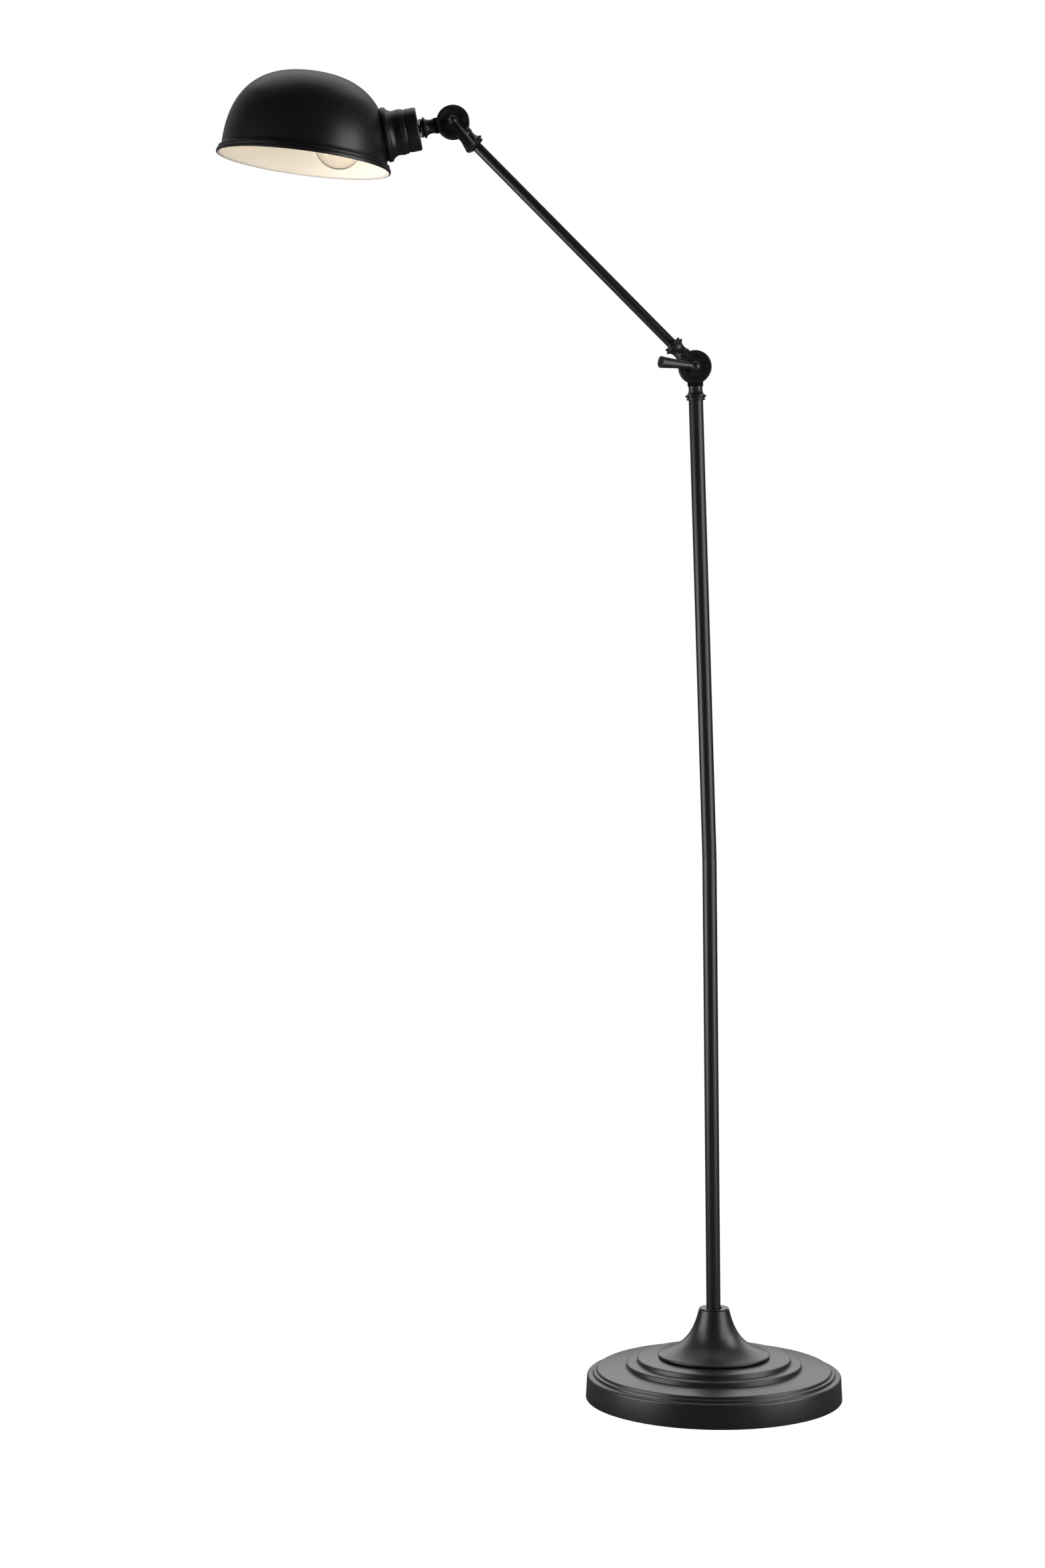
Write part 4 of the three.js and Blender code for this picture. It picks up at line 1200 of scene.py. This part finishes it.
class LAMP_OT_lampholder(bpy.types.Operator):
    """Make the lampholder, its brass shell and the ring that holds the shade"""

    bl_idname = "floor_lamp.lampholder"
    bl_label = "Lampholder"

    def execute(self, context):
        floor = HOLDER_START + 6
        outline = rounded([
            (NECK_BORE, HOLDER_START),
            (HOLDER_R, HOLDER_START, 3),
            (HOLDER_R, HOLDER_END, 0.8),
            (HOLDER_BORE, HOLDER_END, 0.5),
            (HOLDER_BORE, floor),
            (NECK_BORE, floor),
        ])
        holder = turned("lampholder_body_fine", outline, NECK_FRAME, 96)
        finish_piece(holder, "black_paint", "head", "lampholder_body")
        ring = plain_tube(
            "shade_ring_fine", HOLDER_R + 0.3, 25.5, 85.5, 89.5, NECK_FRAME, rounding=0.8, around=128
        )
        finish_piece(ring, "black_paint", "head", "shade_ring")
        shell = plain_tube("screw_shell_fine", 13.5, 14.2, 60.3, 88, NECK_FRAME, rounding=0.2)
        finish_piece(shell, "brass", "head", "lampholder_screw_shell")
        return {"FINISHED"}


class LAMP_OT_bulb(bpy.types.Operator):
    """Make the clear bulb with its threaded cap, stem and coiled filament"""

    bl_idname = "floor_lamp.bulb"
    bl_label = "Bulb"

    def execute(self, context):
        sizes = settings().bulb
        cap, cap_end = sizes.cap / MM, BULB_START + sizes.cap_length / MM
        globe, centre = sizes.globe / MM, BULB_START + (sizes.length - sizes.globe) / MM
        finish_piece(self.cap(BULB_START, cap, cap_end), "nickel", "head", "bulb_cap")
        finish_piece(self.glass(cap, cap_end, globe, centre), "clear_glass", "head", "bulb_glass")
        foot, top = cap_end - 10, centre - 14
        stem = turned("bulb_stem_fine", rounded([
            (0, foot),
            (6.8, foot, 1),
            (3.4, foot + 10, 6),
            (2.2, top - 1.5, 2),
            (2.6, top, 0.8),
            (0, top),
        ]), NECK_FRAME, 48)
        finish_piece(stem, "clear_glass", "head", "bulb_stem")
        values = {"Base": (top + 0.8) * MM, "Turns": float(sizes.coil_turns)}
        coil = from_tree("bulb_filament_fine", coil_tree(finish_of("tungsten")), values)
        coil.data.transform(NECK_FRAME)
        finish_piece(coil, "tungsten", "head", "bulb_filament")
        return {"FINISHED"}

    def cap(self, start, radius, end):
        """The plain ends of the cap with a rolled thread between them."""
        thread_start, thread_end = start + 6.5, end - 3
        values = {
            "Radius": radius * MM,
            "Start": thread_start * MM,
            "Length": (thread_end - thread_start) * MM,
            "Turns": settings().bulb.thread_turns,
        }
        foot = rounded([
            (0, start),
            (4.6, start, 1),
            (6, start + 1.6, 0.5),
            (radius, start + 5.2, 1.5),
            (radius, thread_start),
        ])
        lip = rounded([
            (radius, thread_end),
            (radius, end, 0.4),
            (radius - 0.9, end, 0.3),
            (radius - 0.9, end - 12),
            (0, end - 12),
        ])
        sleeve = from_tree("bulb_cap_fine", thread_tree(finish_of("nickel")), values)
        cap = with_ends(sleeve, 96, foot, lip)
        cap.data.transform(NECK_FRAME)
        return cap

    def glass(self, cap, cap_end, globe, centre):
        """Pear-shaped envelope: a straight neck in the cap, a swelling shoulder and a round globe."""
        neck = cap - 1.3
        shoulder = math.radians(-26)
        ball = [
            (globe * math.cos(t), centre + globe * math.sin(t))
            for t in [shoulder + (math.pi / 2 - shoulder) * k / 40 for k in range(41)]
        ]
        ball[-1] = (0, centre + globe)
        rise = centre - cap_end
        body = rounded([
            (neck, cap_end - 7),
            (neck, cap_end + 0.06 * rise, 14),
            (neck + 1.7, cap_end + 0.2 * rise, 22),
            (neck + 6.4, cap_end + 0.44 * rise, 30),
            ball[0],
        ], 10)
        outer = [*body[:-1], *ball]
        inner = self.shrunk(outer, BULB_WALL)
        return turned("bulb_glass_fine", [*outer, *reversed(inner)], NECK_FRAME, 96)

    def shrunk(self, outline, wall):
        """The outline moved inward along its own normals, ending on the axis."""
        moved = []
        for i, point in enumerate(outline):
            before = Vector(outline[max(i - 1, 0)])
            after = Vector(outline[min(i + 1, len(outline) - 1)])
            along = (after - before).normalized()
            moved.append((point[0] - along.y * wall, point[1] + along.x * wall))
        moved[-1] = (0, outline[-1][1] - wall)
        return moved


# ---- Inner parts that keep their CAD meshes ----


class LAMP_OT_inner_parts(bpy.types.Operator):
    """Give every carried-over part its finish"""

    bl_idname = "floor_lamp.inner_parts"
    bl_label = "Inner Parts"

    def execute(self, context):
        for entry in frame["record"]["subparts"]:
            node = frame["nodes"][entry["node"]]
            material = finish_of(entry["material_slot"])
            node.data.materials.clear()
            node.data.materials.append(material)
        return {"FINISHED"}


# ---- Stage ----

LENS = 70.46  # millimetres, as the sensor's width
SENSOR_WIDTH = 36
EYE = (-0.2205, -3.5, 0.8781)
LOOKING_DOWN = 2.777  # degrees below level
FLOOR_HALF = 30
SHADE_MOUTH = Vector((-0.045, 0, 0.155))  # on the neck's axes


class LAMP_OT_stage(bpy.types.Operator):
    """Set the camera, the pale floor and the soft studio light"""

    bl_idname = "floor_lamp.stage"
    bl_label = "Stage"

    def execute(self, context):
        scene = context.scene
        scene.view_settings.view_transform = "Standard"
        self.camera(scene)
        self.floor(scene)
        self.world(scene)
        power = settings().lights
        self.panel("side_left", (-1.9, -0.55, 0.6), (0, 0, 0.6), (1.5, 1.2), power.left)
        self.panel("side_right", (1.6, -0.9, 0.95), (0, 0, 0.9), (1.4, 2.2), power.right)
        self.panel("top", (-0.3, 0.9, 3.0), (-0.25, 0, 1.0), (2.4, 1.6), power.top)
        base = self.receivers("base_only", "base_cover_fine", "base_bell_fine", "bell_washer_fine")
        foot = (0, 0, 0.05)
        self.panel("low_back", (0, 1.5, 0.8), foot, (2.8, 0.9), power.low_back, base)
        self.panel("base_left", (-1.4, -0.6, 1.4), foot, (0.6, 0.9), power.base_left, base)
        self.panel("base_right", (1.5, 0.1, 1.4), foot, (0.6, 0.9), power.base_right, base)
        discs = [f"{name}_knuckle_fine" for name in ("elbow_pole", "elbow_arm", "head_arm", "head_neck")]
        knuckles = self.receivers("knuckles_only", *discs, "elbow_knob_fine", "head_knob_fine")
        self.panel("knuckles", (-1.7, -0.5, 1.9), ELBOW, (0.7, 0.7), power.knuckles, knuckles)
        self.glow(scene, power.bulb)
        return {"FINISHED"}

    def receivers(self, name, *pieces):
        """A collection of the only pieces that a panel lights."""
        group = bpy.data.collections.new(name)
        for piece in pieces:
            group.objects.link(bpy.data.objects[piece])
        return group

    def camera(self, scene):
        data = bpy.data.cameras.new("view")
        data.lens = LENS
        data.sensor_width = SENSOR_WIDTH
        camera = bpy.data.objects.new("view", data)
        camera.location = EYE
        camera.rotation_euler = (math.radians(90 - LOOKING_DOWN), 0, 0)
        scene.collection.objects.link(camera)
        scene.camera = camera

    def floor(self, scene):
        """White where it is seen, and dim in what the paint mirrors."""
        mesh = bmesh.new()
        bmesh.ops.create_grid(mesh, x_segments=1, y_segments=1, size=FLOOR_HALF)
        data = bpy.data.meshes.new("floor")
        mesh.to_mesh(data)
        mesh.free()
        floor = bpy.data.objects.new("floor", data)
        scene.collection.objects.link(floor)
        finish = Finish("pale_floor", Roughness=0.9)
        tree = finish.tree
        pale = (0.2, 0.2, 0.2)
        finish.feed("Base Color", finish.blend(finish.noise(0.8, 2), pale, tinted(pale, 1.2)))
        glow = {"Color": (1, 1, 1, 1), "Strength": settings().lights.floor}
        lit = add_node(tree, "ShaderNodeEmission", None, glow)
        shader = Wire(tree, finish.shader.outputs[0])
        both = add_node(tree, "ShaderNodeAddShader", None, {0: shader, 1: lit})
        seen = add_node(tree, "ShaderNodeLightPath")
        mix = add_node(tree, "ShaderNodeMixShader", None, {0: seen, 1: shader, 2: both})
        connect(tree, mix, tree.nodes["Material Output"].inputs["Surface"])
        data.materials.append(finish.material)

    def world(self, scene):
        """White where it is seen; elsewhere a soft glow from behind and above, and a dark front."""
        world = bpy.data.worlds.new("studio")
        world.use_nodes = True
        tree = world.node_tree
        tree.nodes.clear()
        lights = settings().lights
        place = add_node(tree, "ShaderNodeTexCoord")
        parts = tree.nodes.new("ShaderNodeSeparateXYZ")
        connect(tree, place, parts.inputs[0])
        behind = (Wire(tree, parts.outputs[1]) * 1.6 - 0.35).clamped()
        above = (Wire(tree, parts.outputs[2]) * 4.0).clamped()
        glow = lights.front + behind * above * lights.behind
        white = (1, 1, 1, 1)
        seen = add_node(tree, "ShaderNodeBackground", None, {"Color": white, "Strength": 1.0})
        dim = add_node(tree, "ShaderNodeBackground", None, {"Color": white, "Strength": glow})
        ray = add_node(tree, "ShaderNodeLightPath")
        mix = add_node(tree, "ShaderNodeMixShader", None, {0: ray, 1: dim, 2: seen})
        out = tree.nodes.new("ShaderNodeOutputWorld")
        connect(tree, mix, out.inputs["Surface"])
        scene.world = world

    def panel(self, name, place, target, size, power, receivers=None):
        data = bpy.data.lights.new(name, "AREA")
        data.shape = "RECTANGLE"
        data.size, data.size_y = size
        data.energy = power
        light = bpy.data.objects.new(name, data)
        light.location = place
        light.rotation_euler = (Vector(target) - Vector(place)).to_track_quat("-Z", "Y").to_euler()
        light.visible_camera = False
        light.light_linking.receiver_collection = receivers
        bpy.context.scene.collection.objects.link(light)

    def glow(self, scene, power):
        """A soft warm light that turns with the head."""
        data = bpy.data.lights.new("bulb_glow", "POINT")
        data.energy = power
        data.color = (1.0, 0.95, 0.88)
        data.shadow_soft_size = 0.02
        light = bpy.data.objects.new("bulb_glow", data)
        light.location = NECK_FRAME @ SHADE_MOUTH
        light.visible_camera = False
        light.visible_transmission = False
        light.visible_glossy = False
        scene.collection.objects.link(light)
        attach(light, "head")


# ---- Add-on ----


OPERATORS = (
    LAMP_OT_base,
    LAMP_OT_tubes,
    LAMP_OT_knuckles,
    LAMP_OT_clamps,
    LAMP_OT_neck,
    LAMP_OT_shade,
    LAMP_OT_lampholder,
    LAMP_OT_bulb,
    LAMP_OT_inner_parts,
    LAMP_OT_stage,
)


class LAMP_PT_panel(bpy.types.Panel):
    """Lists the lamp's pieces."""

    bl_label = "Floor Lamp"
    bl_idname = "LAMP_PT_panel"
    bl_space_type = "VIEW_3D"
    bl_region_type = "UI"
    bl_category = "Floor Lamp"

    def draw(self, context):
        for operator in OPERATORS:
            self.layout.operator(operator.bl_idname)


PROPERTY_GROUPS = (
    LampFinishes,
    LampBaseSizes,
    LampJointSizes,
    LampShadeSizes,
    LampBulbSizes,
    LampLights,
    LampSettings,
)
CLASSES = (*PROPERTY_GROUPS, *OPERATORS, LAMP_PT_panel)


def register():
    for item in CLASSES:
        bpy.utils.register_class(item)
    bpy.types.Scene.floor_lamp = PointerProperty(type=LampSettings)


def unregister():
    del bpy.types.Scene.floor_lamp
    for item in reversed(CLASSES):
        bpy.utils.unregister_class(item)


def main():
    register()
    for operator in OPERATORS:
        _, name = operator.bl_idname.split(".")
        getattr(bpy.ops.floor_lamp, name)()


if __name__ == "__main__":
    main()
